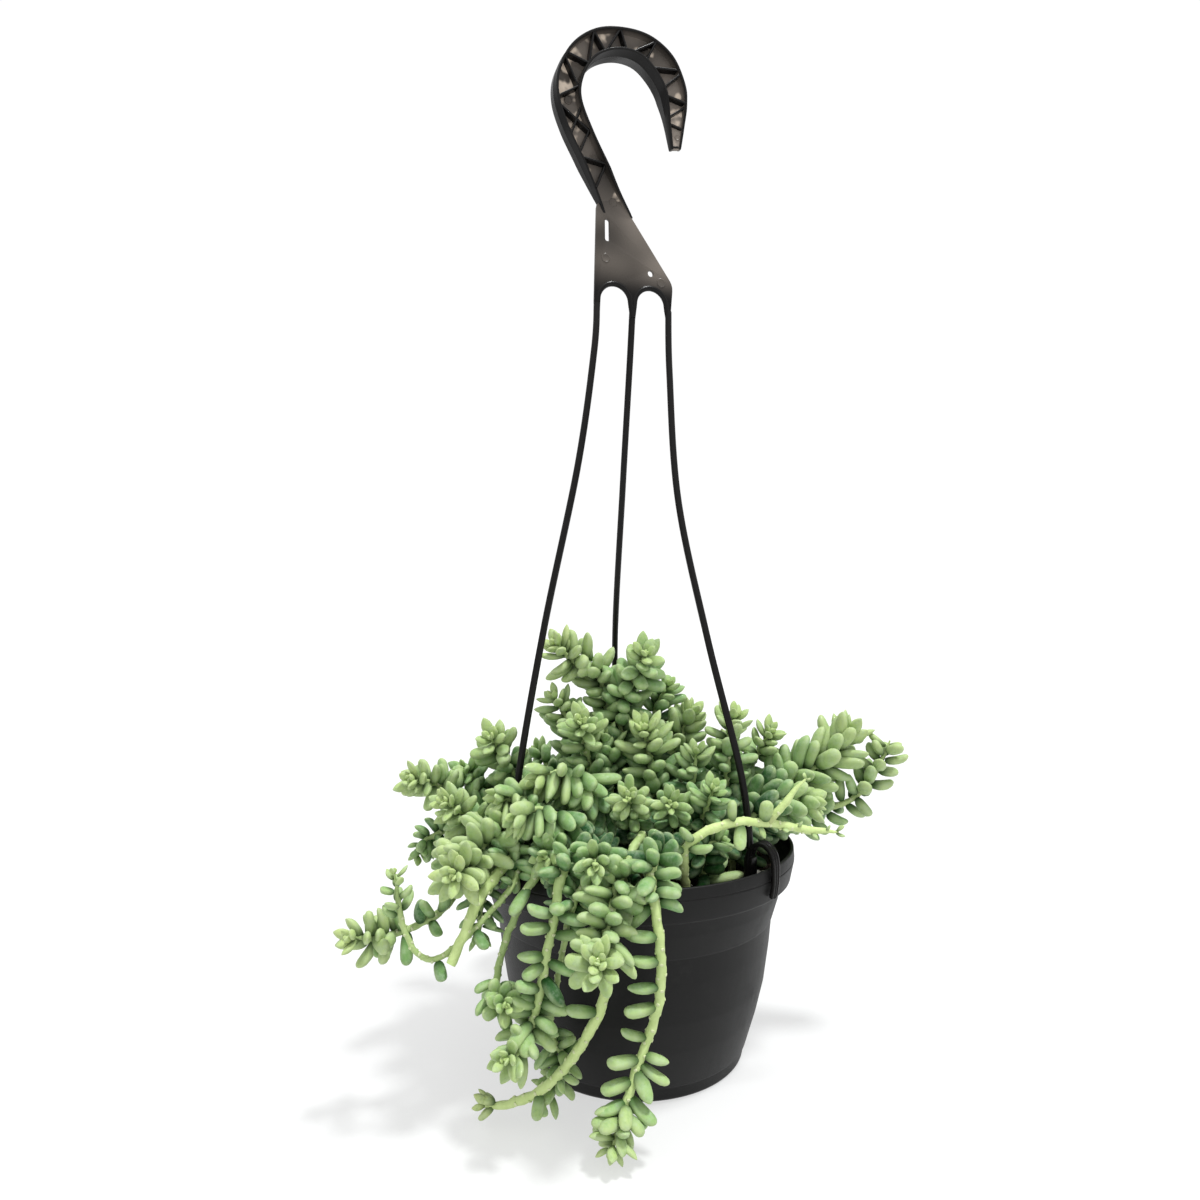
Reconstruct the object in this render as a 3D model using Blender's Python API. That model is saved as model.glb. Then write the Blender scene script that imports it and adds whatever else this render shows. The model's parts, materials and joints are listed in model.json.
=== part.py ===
"""A burro's tail succulent in a black hanging pot, standing on its base.

The pot's axis is Z and its base lies on z = 0. Every length below is in millimetres and every
mesh is scaled to metres when it is made. +X is the plant's right, -Y its front.
"""

import math

import bmesh
import bpy
from mathutils import Matrix, Vector

MM = 0.001  # metres in a millimetre
SEAT = 0.3  # clearance between two pieces that touch

# Pot: outer radius at each height, from the foot up to the top of the lip.
POT_WALL = 1.6
POT_FLOOR = 2.0
POT_OUTSIDE = [
    (50.2, 0.0),
    (51.2, 1.2),
    (51.8, 6.0),
    (52.8, 6.6),
    (58.1, 23.5),
    (61.6, 37.3),
    (64.2, 54.3),
    (65.6, 66.5),
    (69.0, 76.6),
    (70.5, 83.6),
    (74.4, 84.6),
    (76.6, 94.5),
    (76.2, 99.4),
]
POT_SIDES = 48
DRAIN_RADIUS = 3.6
DRAIN_RING = 34.0
DRAIN_HOLES = 6

# Soil: a shallow dome that reaches the wall below the lip.
SOIL_EDGE_HEIGHT = 86.0
SOIL_CROWN = 2.5
SOIL_SIDES = 36

# Hanger: hook and plate lie in one upright plane through the pot's axis, turned about Z.
HANGER_TURN = 21.0  # degrees
HOOK_DEPTH = 11.0
FLANGE = 1.2
WEB = 1.6
RIB = 1.1
PLATE = 1.8
# Matched points along the hook's outer and inner edges, from the plate round to the tip.
HOOK_OUTER = [
    (-12.0, 401.5),
    (-16.4, 410.3),
    (-24.6, 425.9),
    (-31.9, 439.8),
    (-36.1, 453.0),
    (-35.0, 465.0),
    (-27.6, 478.0),
    (-15.5, 487.0),
    (-1.0, 490.3),
    (13.0, 489.2),
    (24.5, 482.0),
    (30.8, 470.0),
    (32.0, 459.5),
    (31.2, 449.5),
    (29.7, 437.8),
]
HOOK_INNER = [
    (3.4, 401.5),
    (-4.2, 412.5),
    (-11.2, 424.5),
    (-18.5, 438.2),
    (-24.0, 452.0),
    (-23.0, 462.5),
    (-17.4, 471.6),
    (-9.6, 476.6),
    (-1.0, 478.5),
    (7.0, 477.4),
    (13.4, 472.5),
    (18.4, 465.6),
    (20.8, 458.0),
    (22.4, 449.5),
    (24.2, 436.8),
]
HOOK_STATIONS = 42
# Zigzag stiffening ribs: each runs from (along, across) to (along, across), both 0 to 1.
HOOK_RIBS = [
    ((0.08, 1.0), (0.14, 0.0)),
    ((0.14, 1.0), (0.14, 0.0)),
    ((0.15, 1.0), (0.22, 0.0)),
    ((0.19, 1.0), (0.27, 0.0)),
    ((0.26, 1.0), (0.21, 0.0)),
    ((0.28, 1.0), (0.33, 0.0)),
    ((0.39, 1.0), (0.32, 0.0)),
    ((0.40, 1.0), (0.41, 0.0)),
    ((0.49, 1.0), (0.41, 0.0)),
    ((0.49, 1.0), (0.49, 0.0)),
    ((0.56, 1.0), (0.49, 0.0)),
    ((0.56, 1.0), (0.58, 0.0)),
    ((0.66, 1.0), (0.60, 0.0)),
    ((0.66, 1.0), (0.67, 0.0)),
    ((0.75, 1.0), (0.70, 0.0)),
    ((0.76, 1.0), (0.79, 0.0)),
    ((0.85, 1.0), (0.82, 0.0)),
    ((0.86, 1.0), (0.91, 0.0)),
    ((0.94, 1.0), (0.93, 0.0)),
]
# Plate below the hook, with two arches that split it into three legs.
PLATE_TOP = 409.0
PLATE_SIDE_LEFT = -17.2
PLATE_SHOULDER = (24.6, 371.0)
PLATE_FOOT = 355.0
ARCH_RADIUS = 7.6
ARCH_CENTRES = (-6.6, 12.6)
ARCH_HEIGHT = 360.0
SLOT = (-10.1, 393.9, 1.15, 5.3)  # centre across, centre up, half width, half height
NAIL_HOLE = (12.6, 375.6, 1.5)  # centre across, centre up, radius

# Wires: routes from the plate's feet down to the inside of the pot's lip.
WIRE_RADIUS = 1.6
WIRE_LEFT = [
    (-14.6, -5.6, 362),
    (-16.2, -9.9, 334),
    (-24.4, -15.3, 279),
    (-40.5, -22.6, 204),
    (-52.4, -28.6, 138),
    (-56.6, -33.4, 99),
]
WIRE_MIDDLE = [
    (2.8, 1.1, 362),
    (1.4, 6.0, 334),
    (-2.5, 21.5, 273),
    (-7.0, 41.0, 196),
    (-6.4, 57.0, 138),
    (-5.8, 65.2, 99),
]
WIRE_RIGHT = [
    (20.8, 8.0, 362),
    (20.6, 2.8, 326),
    (22.9, -9.7, 263),
    (34.5, -22.8, 197),
    (47.5, -36.0, 135),
    (50.2, -42.1, 99),
]
# Clips: the angle of each about the pot's axis, and the strap's path as (radius, height).
CLIP_ANGLES = {"left": 210.5, "middle": 95.1, "right": 320.0}
CLIP_STRAP = [
    (65.6, 103.0),
    (68.0, 107.6),
    (72.2, 109.4),
    (76.2, 107.0),
    (77.9, 102.0),
    (77.95, 95.0),
    (77.2, 89.0),
    (76.0, 83.4),
    (74.6, 82.3),
]
CLIP_WIDTH = 5.0
CLIP_THICKNESS = 1.9
CLIP_LEG = (65.6, 91.0, 100.5, 2.1)  # radius, bottom, top, half width of the leg inside the lip

# Shoots: each route starts at a root in the soil and ends at the growing tip, chosen by eye.
# After the route come the reach of the leaves, and the share of the route where leaves begin
# and end. A reach of 0 is a bare stem.
STEM_RADIUS = 1.7
SHOOT_SIDES = 7
SHOOT_STEP = 8.0
SHOOTS = {
    "shoot_front_trailing": (
        [(12, -40, 88), (9, -60, 108), (4, -80, 108), (6, -88, 90), (7, -87, 68),
         (4, -85, 51), (-1, -85, 38), (-6, -88, 25), (-10, -92, 14), (-13, -95, 8)],
        11, 0.25, 1.0),
    "shoot_front_yellow": (
        [(-6, -54, 88), (-9, -68, 106), (-14, -83, 92), (-13, -84, 72), (-17, -84, 55),
         (-25, -82, 40), (-38, -76, 22), (-54, -68, 10), (-65, -64, 6)],
        0, 0.0, 0.0),
    "shoot_front_rosette": (
        [(1, -28, 88), (2, -50, 114), (-9, -76, 108), (-11, -92, 97), (-16, -110, 86)],
        14, 0.45, 1.0),
    "shoot_front_left_leafy": (
        [(-20, -52, 88), (-26, -64, 108), (-31, -78, 107), (-34, -84, 92), (-38, -84, 74),
         (-41, -83, 58), (-45, -82, 45), (-50, -87, 42), (-56, -92, 44)],
        10, 0.25, 1.0),
    "shoot_front_left_bare": (
        [(-26, -48, 88), (-35, -60, 106), (-45, -68, 99), (-53, -70, 82), (-57, -69, 67),
         (-57, -71, 58), (-51, -80, 56)],
        9, 0.8, 1.0),
    "shoot_front_twig": (
        [(-13, -58, 88), (-18, -70, 107), (-27, -81, 95), (-32, -76, 72), (-37, -70, 41),
         (-32, -69, 30), (-34, -67, 20), (-39, -66, 11)],
        6, 0.62, 1.0),
    "shoot_left_cut": (
        [(-34, -20, 88), (-44, -40, 112), (-54, -56, 107), (-65, -73, 95), (-70, -78, 84),
         (-75, -81, 73)],
        9, 0.25, 0.5),
    "shoot_left_long_tail": (
        [(-56, -6, 88), (-70, -14, 107), (-79, -30, 100), (-79, -48, 89), (-86, -55, 83),
         (-95, -58, 79), (-107, -62, 77), (-118, -66, 79)],
        10, 0.5, 1.0),
    "shoot_left_sprig": (
        [(-38, -36, 88), (-47, -53, 105), (-54, -65, 96), (-68, -71, 82), (-80, -77, 74),
         (-88, -81, 77), (-94, -82, 90), (-96, -84, 110)],
        6, 0.72, 1.0),
    "shoot_left_dark_rosette": (
        [(-44, -42, 88), (-54, -46, 104), (-62, -51, 103), (-66, -60, 88), (-66, -63, 77)],
        8, 0.55, 1.0),
    "shoot_left_buds": (
        [(-42, -28, 88), (-48, -34, 112), (-63, -54, 113), (-69, -68, 109), (-72, -84, 108)],
        14, 0.4, 1.0),
    "shoot_left_bright": (
        [(-50, -10, 88), (-69, -26, 108), (-76, -34, 120), (-83, -44, 128)],
        10, 0.35, 1.0),
    "shoot_left_far_rosette": (
        [(-50, 2, 88), (-74, -4, 112), (-84, -8, 123), (-94, -12, 131), (-104, -16, 137)],
        11, 0.35, 1.0),
    "shoot_left_low_dark": (
        [(-60, 10, 88), (-72, 8, 106), (-92, 2, 103), (-101, -2, 100), (-104, -4, 93)],
        8, 0.45, 1.0),
    "shoot_left_dark": (
        [(-42, 18, 88), (-69, 18, 114), (-78, 16, 125), (-86, 12, 135)],
        8, 0.4, 1.0),
    "shoot_left_upper_rosette": (
        [(-34, 6, 88), (-51, 4, 120), (-59, 0, 134), (-64, -2, 145), (-67, -6, 154)],
        11, 0.35, 1.0),
    "shoot_top_light": (
        [(2, 4, 88), (-3, 2, 122), (-5, 3, 144), (-5, 3, 160), (-2, 0, 171), (2, -5, 184),
         (4, -9, 195)],
        11, 0.4, 1.0),
    "shoot_top_left_arm": (
        [(-10, 12, 88), (-10, 12, 135), (-12, 10, 159), (-14, 8, 173), (-20, 2, 184),
         (-29, -3, 187), (-36, -8, 195)],
        10, 0.45, 1.0),
    "shoot_top_right_low": (
        [(12, 14, 88), (5, 14, 129), (10, 14, 147), (13, 10, 162), (18, 6, 173)],
        10, 0.4, 1.0),
    "shoot_top_right_big": (
        [(22, 12, 88), (15, 12, 125), (20, 10, 139), (26, 8, 151), (30, 6, 159)],
        12, 0.4, 1.0),
    "shoot_upper_left": (
        [(-22, 12, 88), (-26, 8, 126), (-28, 4, 142), (-32, 0, 157), (-37, -4, 169)],
        10, 0.4, 1.0),
    "shoot_upper_left_face": (
        [(-14, -4, 88), (-20, -6, 119), (-21, -10, 137), (-23, -16, 152), (-24, -26, 160)],
        11, 0.4, 1.0),
    "shoot_upper_middle": (
        [(-4, -2, 88), (-10, -4, 119), (-11, -6, 138), (-13, -8, 151)],
        10, 0.4, 1.0),
    "shoot_centre_rosette": (
        [(8, -6, 88), (9, -8, 115), (9, -12, 132), (7, -16, 146), (5, -22, 156)],
        13, 0.35, 1.0),
    "shoot_centre_right": (
        [(22, -6, 88), (25, -12, 115), (28, -16, 133), (29, -20, 144)],
        11, 0.35, 1.0),
    "shoot_centre_front": (
        [(2, -18, 88), (-1, -30, 112), (-2, -40, 123), (-4, -54, 133)],
        11, 0.35, 1.0),
    "shoot_centre_front_right": (
        [(14, -18, 88), (17, -26, 110), (16, -36, 120), (14, -48, 128)],
        10, 0.35, 1.0),
    "shoot_rows_upper": (
        [(-14, -16, 88), (-16, -26, 121), (-25, -38, 135), (-37, -44, 141), (-47, -48, 141)],
        12, 0.35, 1.0),
    "shoot_rows_lower": (
        [(-22, -28, 88), (-24, -42, 112), (-33, -54, 124), (-43, -60, 129), (-51, -64, 128)],
        12, 0.3, 1.0),
    "shoot_rows_left": (
        [(-32, -14, 88), (-38, -33, 116), (-48, -44, 127), (-56, -50, 131)],
        10, 0.4, 1.0),
    "shoot_beads_front": (
        [(-8, -40, 88), (-15, -54, 104), (-17, -66, 112), (-18, -80, 118)],
        11, 0.3, 1.0),
    "shoot_beads_left": (
        [(-30, -34, 88), (-33, -54, 109), (-37, -70, 114)],
        10, 0.3, 1.0),
    "shoot_right_inner": (
        [(28, -24, 88), (29, -34, 113), (31, -42, 124), (33, -48, 133)],
        11, 0.3, 1.0),
    "shoot_right_inner_low": (
        [(30, -38, 88), (28, -48, 107), (36, -50, 112)],
        9, 0.3, 1.0),
    "shoot_right_middle": (
        [(46, -16, 88), (52, -20, 112), (60, -22, 122), (69, -24, 128)],
        11, 0.3, 1.0),
    "shoot_right_bare": (
        [(20, -54, 88), (19, -62, 110), (28, -63, 119), (41, -60, 122), (55, -54, 120),
         (70, -48, 116), (87, -44, 113)],
        0, 0.0, 0.0),
    "shoot_right_big_tail": (
        [(40, -8, 88), (50, -6, 114), (64, -2, 124), (78, 0, 132), (95, 0, 141), (107, 0, 154)],
        14, 0.3, 1.0),
    "shoot_right_thin": (
        [(54, 6, 88), (65, 8, 104), (78, 8, 104), (98, 4, 112), (110, 2, 119), (118, 0, 130),
         (123, -2, 141), (125, -2, 146)],
        8, 0.3, 1.0),
    "shoot_behind_right_wire": (
        [(30, 0, 88), (43, -4, 118), (45, -8, 136), (46, -9, 150), (48, -10, 160)],
        10, 0.35, 1.0),
    "shoot_right_back_tips": (
        [(42, 10, 88), (55, 8, 120), (60, 8, 134), (64, 8, 142), (68, 8, 150)],
        10, 0.35, 1.0),
    "shoot_back_left": (
        [(-28, 40, 88), (-42, 58, 112), (-54, 78, 104), (-58, 90, 80), (-60, 93, 56)],
        11, 0.25, 1.0),
    "shoot_back_middle": (
        [(6, 46, 88), (6, 64, 114), (4, 86, 108), (2, 97, 84), (2, 98, 62)],
        11, 0.25, 1.0),
    "shoot_back_right": (
        [(32, 38, 88), (44, 56, 116), (56, 76, 108), (62, 88, 88)],
        11, 0.25, 1.0),
    "shoot_back_far_left": (
        [(-50, 26, 88), (-66, 38, 112), (-86, 48, 108), (-100, 54, 96)],
        10, 0.3, 1.0),
    "shoot_back_far_right": (
        [(52, 22, 88), (64, 32, 116), (82, 42, 118), (96, 50, 110)],
        10, 0.3, 1.0),
    "shoot_back_top_left": (
        [(-16, 30, 88), (-20, 34, 130), (-30, 42, 150)],
        12, 0.3, 1.0),
    "shoot_back_top_right": (
        [(16, 30, 88), (20, 36, 132), (30, 46, 154)],
        12, 0.3, 1.0),
    "shoot_back_top": (
        [(0, 24, 88), (0, 28, 130), (-2, 34, 160)],
        12, 0.3, 1.0),
    "shoot_back_inner_left": (
        [(-32, 26, 88), (-40, 32, 122), (-50, 40, 136)],
        11, 0.3, 1.0),
    "shoot_back_inner_right": (
        [(34, 20, 88), (42, 27, 124), (52, 34, 140)],
        11, 0.3, 1.0),
    "shoot_back_low_left": (
        [(-12, 54, 88), (-20, 70, 108), (-28, 86, 98), (-32, 94, 76)],
        9, 0.3, 1.0),
    "shoot_back_low_right": (
        [(16, 50, 88), (24, 66, 108), (32, 84, 98), (36, 92, 74)],
        9, 0.3, 1.0),
}
# The bare stem on the right forks: its pale side branch joins it and becomes one body with it.
RIGHT_BRANCH = [(55, -54, 120), (60, -54, 125), (66, -53, 132), (72, -52, 138)]
# Loose bits on the soil by the right clip: (x, y, radius) of perlite grains.
PERLITE = [(57.0, -35.0, 3.2), (61.5, -26.5, 2.4), (40.0, -50.0, 2.6)]

scene = bpy.context.scene


def clear_scene():
    for obj in list(bpy.data.objects):
        bpy.data.objects.remove(obj, do_unlink=True)


def material(name, colour, roughness):
    made = bpy.data.materials.new(name)
    made.use_nodes = True
    shader = made.node_tree.nodes["Principled BSDF"]
    shader.inputs["Base Color"].default_value = (*colour, 1.0)
    shader.inputs["Roughness"].default_value = roughness
    return made


def add_object(name, mesh_or_bmesh, finish=None):
    """A named object from a bmesh in millimetres, with outward normals and smooth shading."""
    made = mesh_or_bmesh
    bmesh.ops.recalc_face_normals(made, faces=made.faces[:])
    bmesh.ops.scale(made, vec=(MM, MM, MM), verts=made.verts[:])
    mesh = bpy.data.meshes.new(name)
    made.to_mesh(mesh)
    made.free()
    mesh.shade_smooth()
    mesh.set_sharp_from_angle(angle=math.radians(35))
    obj = bpy.data.objects.new(name, mesh)
    scene.collection.objects.link(obj)
    if finish:
        mesh.materials.append(finish)
    return obj


def helper_object(name, made):
    """A hidden solid that only serves a Boolean."""
    obj = add_object(name, made)
    obj.hide_render = True
    obj.display_type = "WIRE"
    return obj


def boolean(obj, other, operation):
    step = obj.modifiers.new(operation.title() + " " + other.name, "BOOLEAN")
    step.operation = operation
    step.solver = "EXACT"
    step.object = other


def smooth_route(points, step):
    """Points about `step` apart on a Catmull-Rom curve through the given ones."""
    given = [Vector(p) for p in points]
    padded = [2 * given[0] - given[1], *given, 2 * given[-1] - given[-2]]
    route = []
    for a, b, c, d in zip(padded, padded[1:], padded[2:], padded[3:]):
        count = max(1, round((c - b).length / step))
        for k in range(count):
            t = k / count
            route.append(
                0.5 * (2 * b + (c - a) * t + (2 * a - 5 * b + 4 * c - d) * t**2
                       + (3 * b - a - 3 * c + d) * t**3)
            )
    route.append(given[-1])
    return route


def tube(made, route, radii, sides):
    """Adds a closed tube along the route, with the given radius at each of its points."""
    along = [(b - a).normalized() for a, b in zip(route, route[1:])]
    tangents = [along[0], *[(a + b).normalized() for a, b in zip(along, along[1:])], along[-1]]
    side = tangents[0].orthogonal().normalized()
    rings = []
    for point, tangent, radius in zip(route, tangents, radii):
        side = (side - tangent * side.dot(tangent)).normalized()
        up = tangent.cross(side)
        ring = []
        for k in range(sides):
            turn = math.tau * k / sides
            spoke = side * math.cos(turn) + up * math.sin(turn)
            ring.append(made.verts.new(point + spoke * radius))
        rings.append(ring)
    for low, high in zip(rings, rings[1:]):
        for k in range(sides):
            made.faces.new((low[k - 1], low[k], high[k], high[k - 1]))
    made.faces.new(list(reversed(rings[0])))
    made.faces.new(rings[-1])


def turned(made, outline, sides):
    """Adds a solid turned about Z from an outline that starts and ends on the axis."""
    rings = []
    for radius, height in outline:
        if radius == 0:
            rings.append([made.verts.new((0, 0, height))] * sides)
            continue
        spokes = [math.tau * k / sides for k in range(sides)]
        rings.append(
            [made.verts.new((radius * math.cos(a), radius * math.sin(a), height)) for a in spokes]
        )
    for low, high in zip(rings, rings[1:]):
        for k in range(sides):
            corners = [low[k - 1], low[k], high[k], high[k - 1]]
            made.faces.new(list(dict.fromkeys(corners)))


# Inside of the pot, from the lip down to the floor.
POT_INSIDE = [(r - POT_WALL, z) for r, z in reversed(POT_OUTSIDE) if z > 5 and z != 84.6]


def inside_radius(height):
    """The pot's inner radius at a height."""
    for (r1, z1), (r0, z0) in zip(POT_INSIDE, POT_INSIDE[1:]):
        if z0 <= height <= z1:
            return r0 + (r1 - r0) * (height - z0) / (z1 - z0)
    return POT_INSIDE[0][0]


def soil_height(radius):
    """The height of the soil's dome at a distance from the axis."""
    edge = inside_radius(SOIL_EDGE_HEIGHT)
    return SOIL_EDGE_HEIGHT + SOIL_CROWN * (1 - (radius / edge) ** 2)


def make_pot(finish):
    made = bmesh.new()
    floor_radius = POT_INSIDE[-1][0]
    outline = [(0, 0), *POT_OUTSIDE, *POT_INSIDE, (floor_radius - 1.5, POT_FLOOR), (0, POT_FLOOR)]
    turned(made, outline, POT_SIDES)
    pot = add_object("pot", made, finish)
    drills = bmesh.new()
    for k in range(DRAIN_HOLES):
        turn = math.tau * (k + 0.5) / DRAIN_HOLES
        place = Matrix.Translation((DRAIN_RING * math.cos(turn), DRAIN_RING * math.sin(turn), 0))
        bmesh.ops.create_cone(
            drills, cap_ends=True, segments=12, radius1=DRAIN_RADIUS, radius2=DRAIN_RADIUS,
            depth=4 * POT_FLOOR, matrix=place,
        )
    boolean(pot, helper_object("drain_drills", drills), "DIFFERENCE")


def make_soil(finish):
    made = bmesh.new()
    top = [(r * 0.25, soil_height(r * 0.25)) for r in range(16, 272, 32)]
    sides = [(r - SEAT, z) for r, z in POT_INSIDE if z < SOIL_EDGE_HEIGHT]
    edge = (inside_radius(SOIL_EDGE_HEIGHT) - SEAT, SOIL_EDGE_HEIGHT)
    foot = POT_FLOOR + SEAT
    outline = [(0, foot), (sides[-1][0] - 1.5, foot), *reversed(sides)]
    outline += [edge, *reversed(top), (0, soil_height(0))]
    turned(made, outline, SOIL_SIDES)
    add_object("soil", made, finish)


def in_hanger_plane(across, up, out=0.0):
    """A point of the hanger's plane; `out` is the distance in front of it."""
    turn = math.radians(HANGER_TURN)
    return Vector(
        (across * math.cos(turn) + out * math.sin(turn),
         across * math.sin(turn) - out * math.cos(turn), up)
    )


def resampled(points, count):
    """A smooth curve through points of the hanger's plane, read at `count` even parameters."""
    given = [Vector((x, y, 0)) for x, y in points]
    padded = [2 * given[0] - given[1], *given, 2 * given[-1] - given[-2]]
    read = []
    for k in range(count):
        place = (len(given) - 1) * k / (count - 1)
        first = min(int(place), len(given) - 2)
        t = place - first
        a, b, c, d = padded[first:first + 4]
        point = 0.5 * (2 * b + (c - a) * t + (2 * a - 5 * b + 4 * c - d) * t**2
                       + (3 * b - a - 3 * c + d) * t**3)
        read.append(point.to_2d())
    return read


def hook_body(made):
    """The hook: an I-shaped bar whose flanges follow the outer and the inner edge."""
    half, web = HOOK_DEPTH / 2, WEB / 2
    outer = resampled(HOOK_OUTER, HOOK_STATIONS)
    inner = resampled(HOOK_INNER, HOOK_STATIONS)
    rings = []
    for o, i in zip(outer, inner):
        width = (o - i).length
        flange = FLANGE / width
        section = [
            (0, -half), (flange, -half), (flange, -web), (1 - flange, -web), (1 - flange, -half),
            (1, -half), (1, half), (1 - flange, half), (1 - flange, web), (flange, web),
            (flange, half), (0, half),
        ]
        rings.append(
            [made.verts.new(in_hanger_plane(*(i + (o - i) * s), out)) for s, out in section]
        )
    for low, high in zip(rings, rings[1:]):
        for k in range(len(low)):
            made.faces.new((low[k - 1], low[k], high[k], high[k - 1]))
    made.faces.new(list(reversed(rings[0])))
    made.faces.new(rings[-1])


def slab(made, outline, thickness):
    """Adds a flat plate of the hanger's plane with the given outline."""
    front = [made.verts.new(in_hanger_plane(x, y, thickness / 2)) for x, y in outline]
    back = [made.verts.new(in_hanger_plane(x, y, -thickness / 2)) for x, y in outline]
    made.faces.new(front)
    made.faces.new(list(reversed(back)))
    for k in range(len(outline)):
        made.faces.new((front[k - 1], front[k], back[k], back[k - 1]))


def hook_ribs(made):
    count = 101
    outer = resampled(HOOK_OUTER, count)
    inner = resampled(HOOK_INNER, count)
    for start, end in HOOK_RIBS:
        ends = []
        for along, across in (start, end):
            o, i = outer[round(along * (count - 1))], inner[round(along * (count - 1))]
            inset = 0.5 * FLANGE / (o - i).length
            ends.append(i + (o - i) * min(max(across, inset), 1 - inset))
        a, b = ends
        side = (b - a).orthogonal().normalized() * RIB / 2
        slab(made, [a + side, b + side, b - side, a - side], HOOK_DEPTH - 0.8)


def round_outline(x, y, half_width, half_height, count):
    """An upright oval with straight sides, or a circle where both halves are equal."""
    straight = half_height - half_width
    points = []
    for k in range(count):
        turn = math.tau * (k + 0.5) / count
        lift = straight if math.sin(turn) > 0 else -straight
        points.append((x + half_width * math.cos(turn), y + lift + half_width * math.sin(turn)))
    return points


def plate_outline():
    legs = [(PLATE_SIDE_LEFT, PLATE_FOOT)]
    for centre in ARCH_CENTRES:
        legs.append((centre - ARCH_RADIUS, PLATE_FOOT))
        for k in range(9):
            turn = math.pi * (1 - k / 8)
            legs.append(
                (centre + ARCH_RADIUS * math.cos(turn), ARCH_HEIGHT + ARCH_RADIUS * math.sin(turn))
            )
        legs.append((centre + ARCH_RADIUS, PLATE_FOOT))
    right = PLATE_SHOULDER[0] - 1.2
    return [*legs, (right, PLATE_FOOT), PLATE_SHOULDER, (-2.6, PLATE_TOP), (-15.4, PLATE_TOP - 2)]


def wire_body(made, route):
    points = smooth_route(route, 14.0)
    tube(made, points, [WIRE_RADIUS] * len(points), 8)


def clip_body(made, angle):
    """One clip: a leg inside the lip, and a strap bent over it and under its outer edge."""
    turn = math.radians(angle)
    radial = Vector((math.cos(turn), math.sin(turn), 0))
    sideways = Vector((-math.sin(turn), math.cos(turn), 0)) * CLIP_WIDTH / 2
    path = [radial * r + Vector((0, 0, z)) for r, z in CLIP_STRAP]
    rings = []
    for k, point in enumerate(path):
        before, after = path[max(k - 1, 0)], path[min(k + 1, len(path) - 1)]
        normal = (after - before).cross(sideways).normalized() * CLIP_THICKNESS / 2
        corners = (normal + sideways, normal - sideways, -normal - sideways, -normal + sideways)
        rings.append([made.verts.new(point + corner) for corner in corners])
    for low, high in zip(rings, rings[1:]):
        for k in range(4):
            made.faces.new((low[k - 1], low[k], high[k], high[k - 1]))
    made.faces.new(list(reversed(rings[0])))
    made.faces.new(rings[-1])


def clip_leg(made, angle):
    radius, low, high, half = CLIP_LEG
    turn = math.radians(angle)
    size = Matrix.Diagonal((2 * half, 2 * half, high - low, 1))
    place = Matrix.Translation(
        (radius * math.cos(turn), radius * math.sin(turn), (low + high) / 2)
    )
    bmesh.ops.create_cube(made, size=1, matrix=place @ Matrix.Rotation(turn, 4, "Z") @ size)


def make_hanger(finish):
    """Hook, plate, three wires and three clips: one moulding."""
    made = bmesh.new()
    hook_body(made)
    hanger = add_object("hanger", made, finish)
    ribs = bmesh.new()
    hook_ribs(ribs)
    plate = bmesh.new()
    slab(plate, plate_outline(), PLATE)
    x, y, half_width, half_height = SLOT
    cuts = bmesh.new()
    slab(cuts, round_outline(x, y, half_width, half_height, 12), 3 * PLATE)
    x, y, radius = NAIL_HOLE
    slab(cuts, round_outline(x, y, radius, radius, 12), 3 * PLATE)
    boolean(hanger, helper_object("hook_ribs", ribs), "UNION")
    hanger.modifiers[-1].use_self = True
    boolean(hanger, helper_object("hanger_plate", plate), "UNION")
    boolean(hanger, helper_object("plate_cuts", cuts), "DIFFERENCE")
    routes = {"left": WIRE_LEFT, "middle": WIRE_MIDDLE, "right": WIRE_RIGHT}
    for name, angle in CLIP_ANGLES.items():
        wire, strap, leg = bmesh.new(), bmesh.new(), bmesh.new()
        wire_body(wire, routes[name])
        clip_body(strap, angle)
        clip_leg(leg, angle)
        boolean(hanger, helper_object("wire_" + name, wire), "UNION")
        boolean(hanger, helper_object("clip_leg_" + name, leg), "UNION")
        boolean(hanger, helper_object("clip_strap_" + name, strap), "UNION")


def distance_to_line(point, line):
    """Distance from a point to a line of points."""
    best = math.inf
    for a, b in zip(line, line[1:]):
        run = b - a
        t = min(max((point - a).dot(run) / run.length_squared, 0.0), 1.0)
        best = min(best, (point - a - run * t).length)
    return best


def pot_clearance(point):
    """Distance from a point above the soil or outside the pot to the pot's wall and lip."""
    radius = math.hypot(point.x, point.y)
    flat = Vector((radius, 0, point.z))
    wall = [Vector((r, 0, z)) for r, z in [*POT_OUTSIDE, *POT_INSIDE]]
    return distance_to_line(flat, wall)


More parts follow.
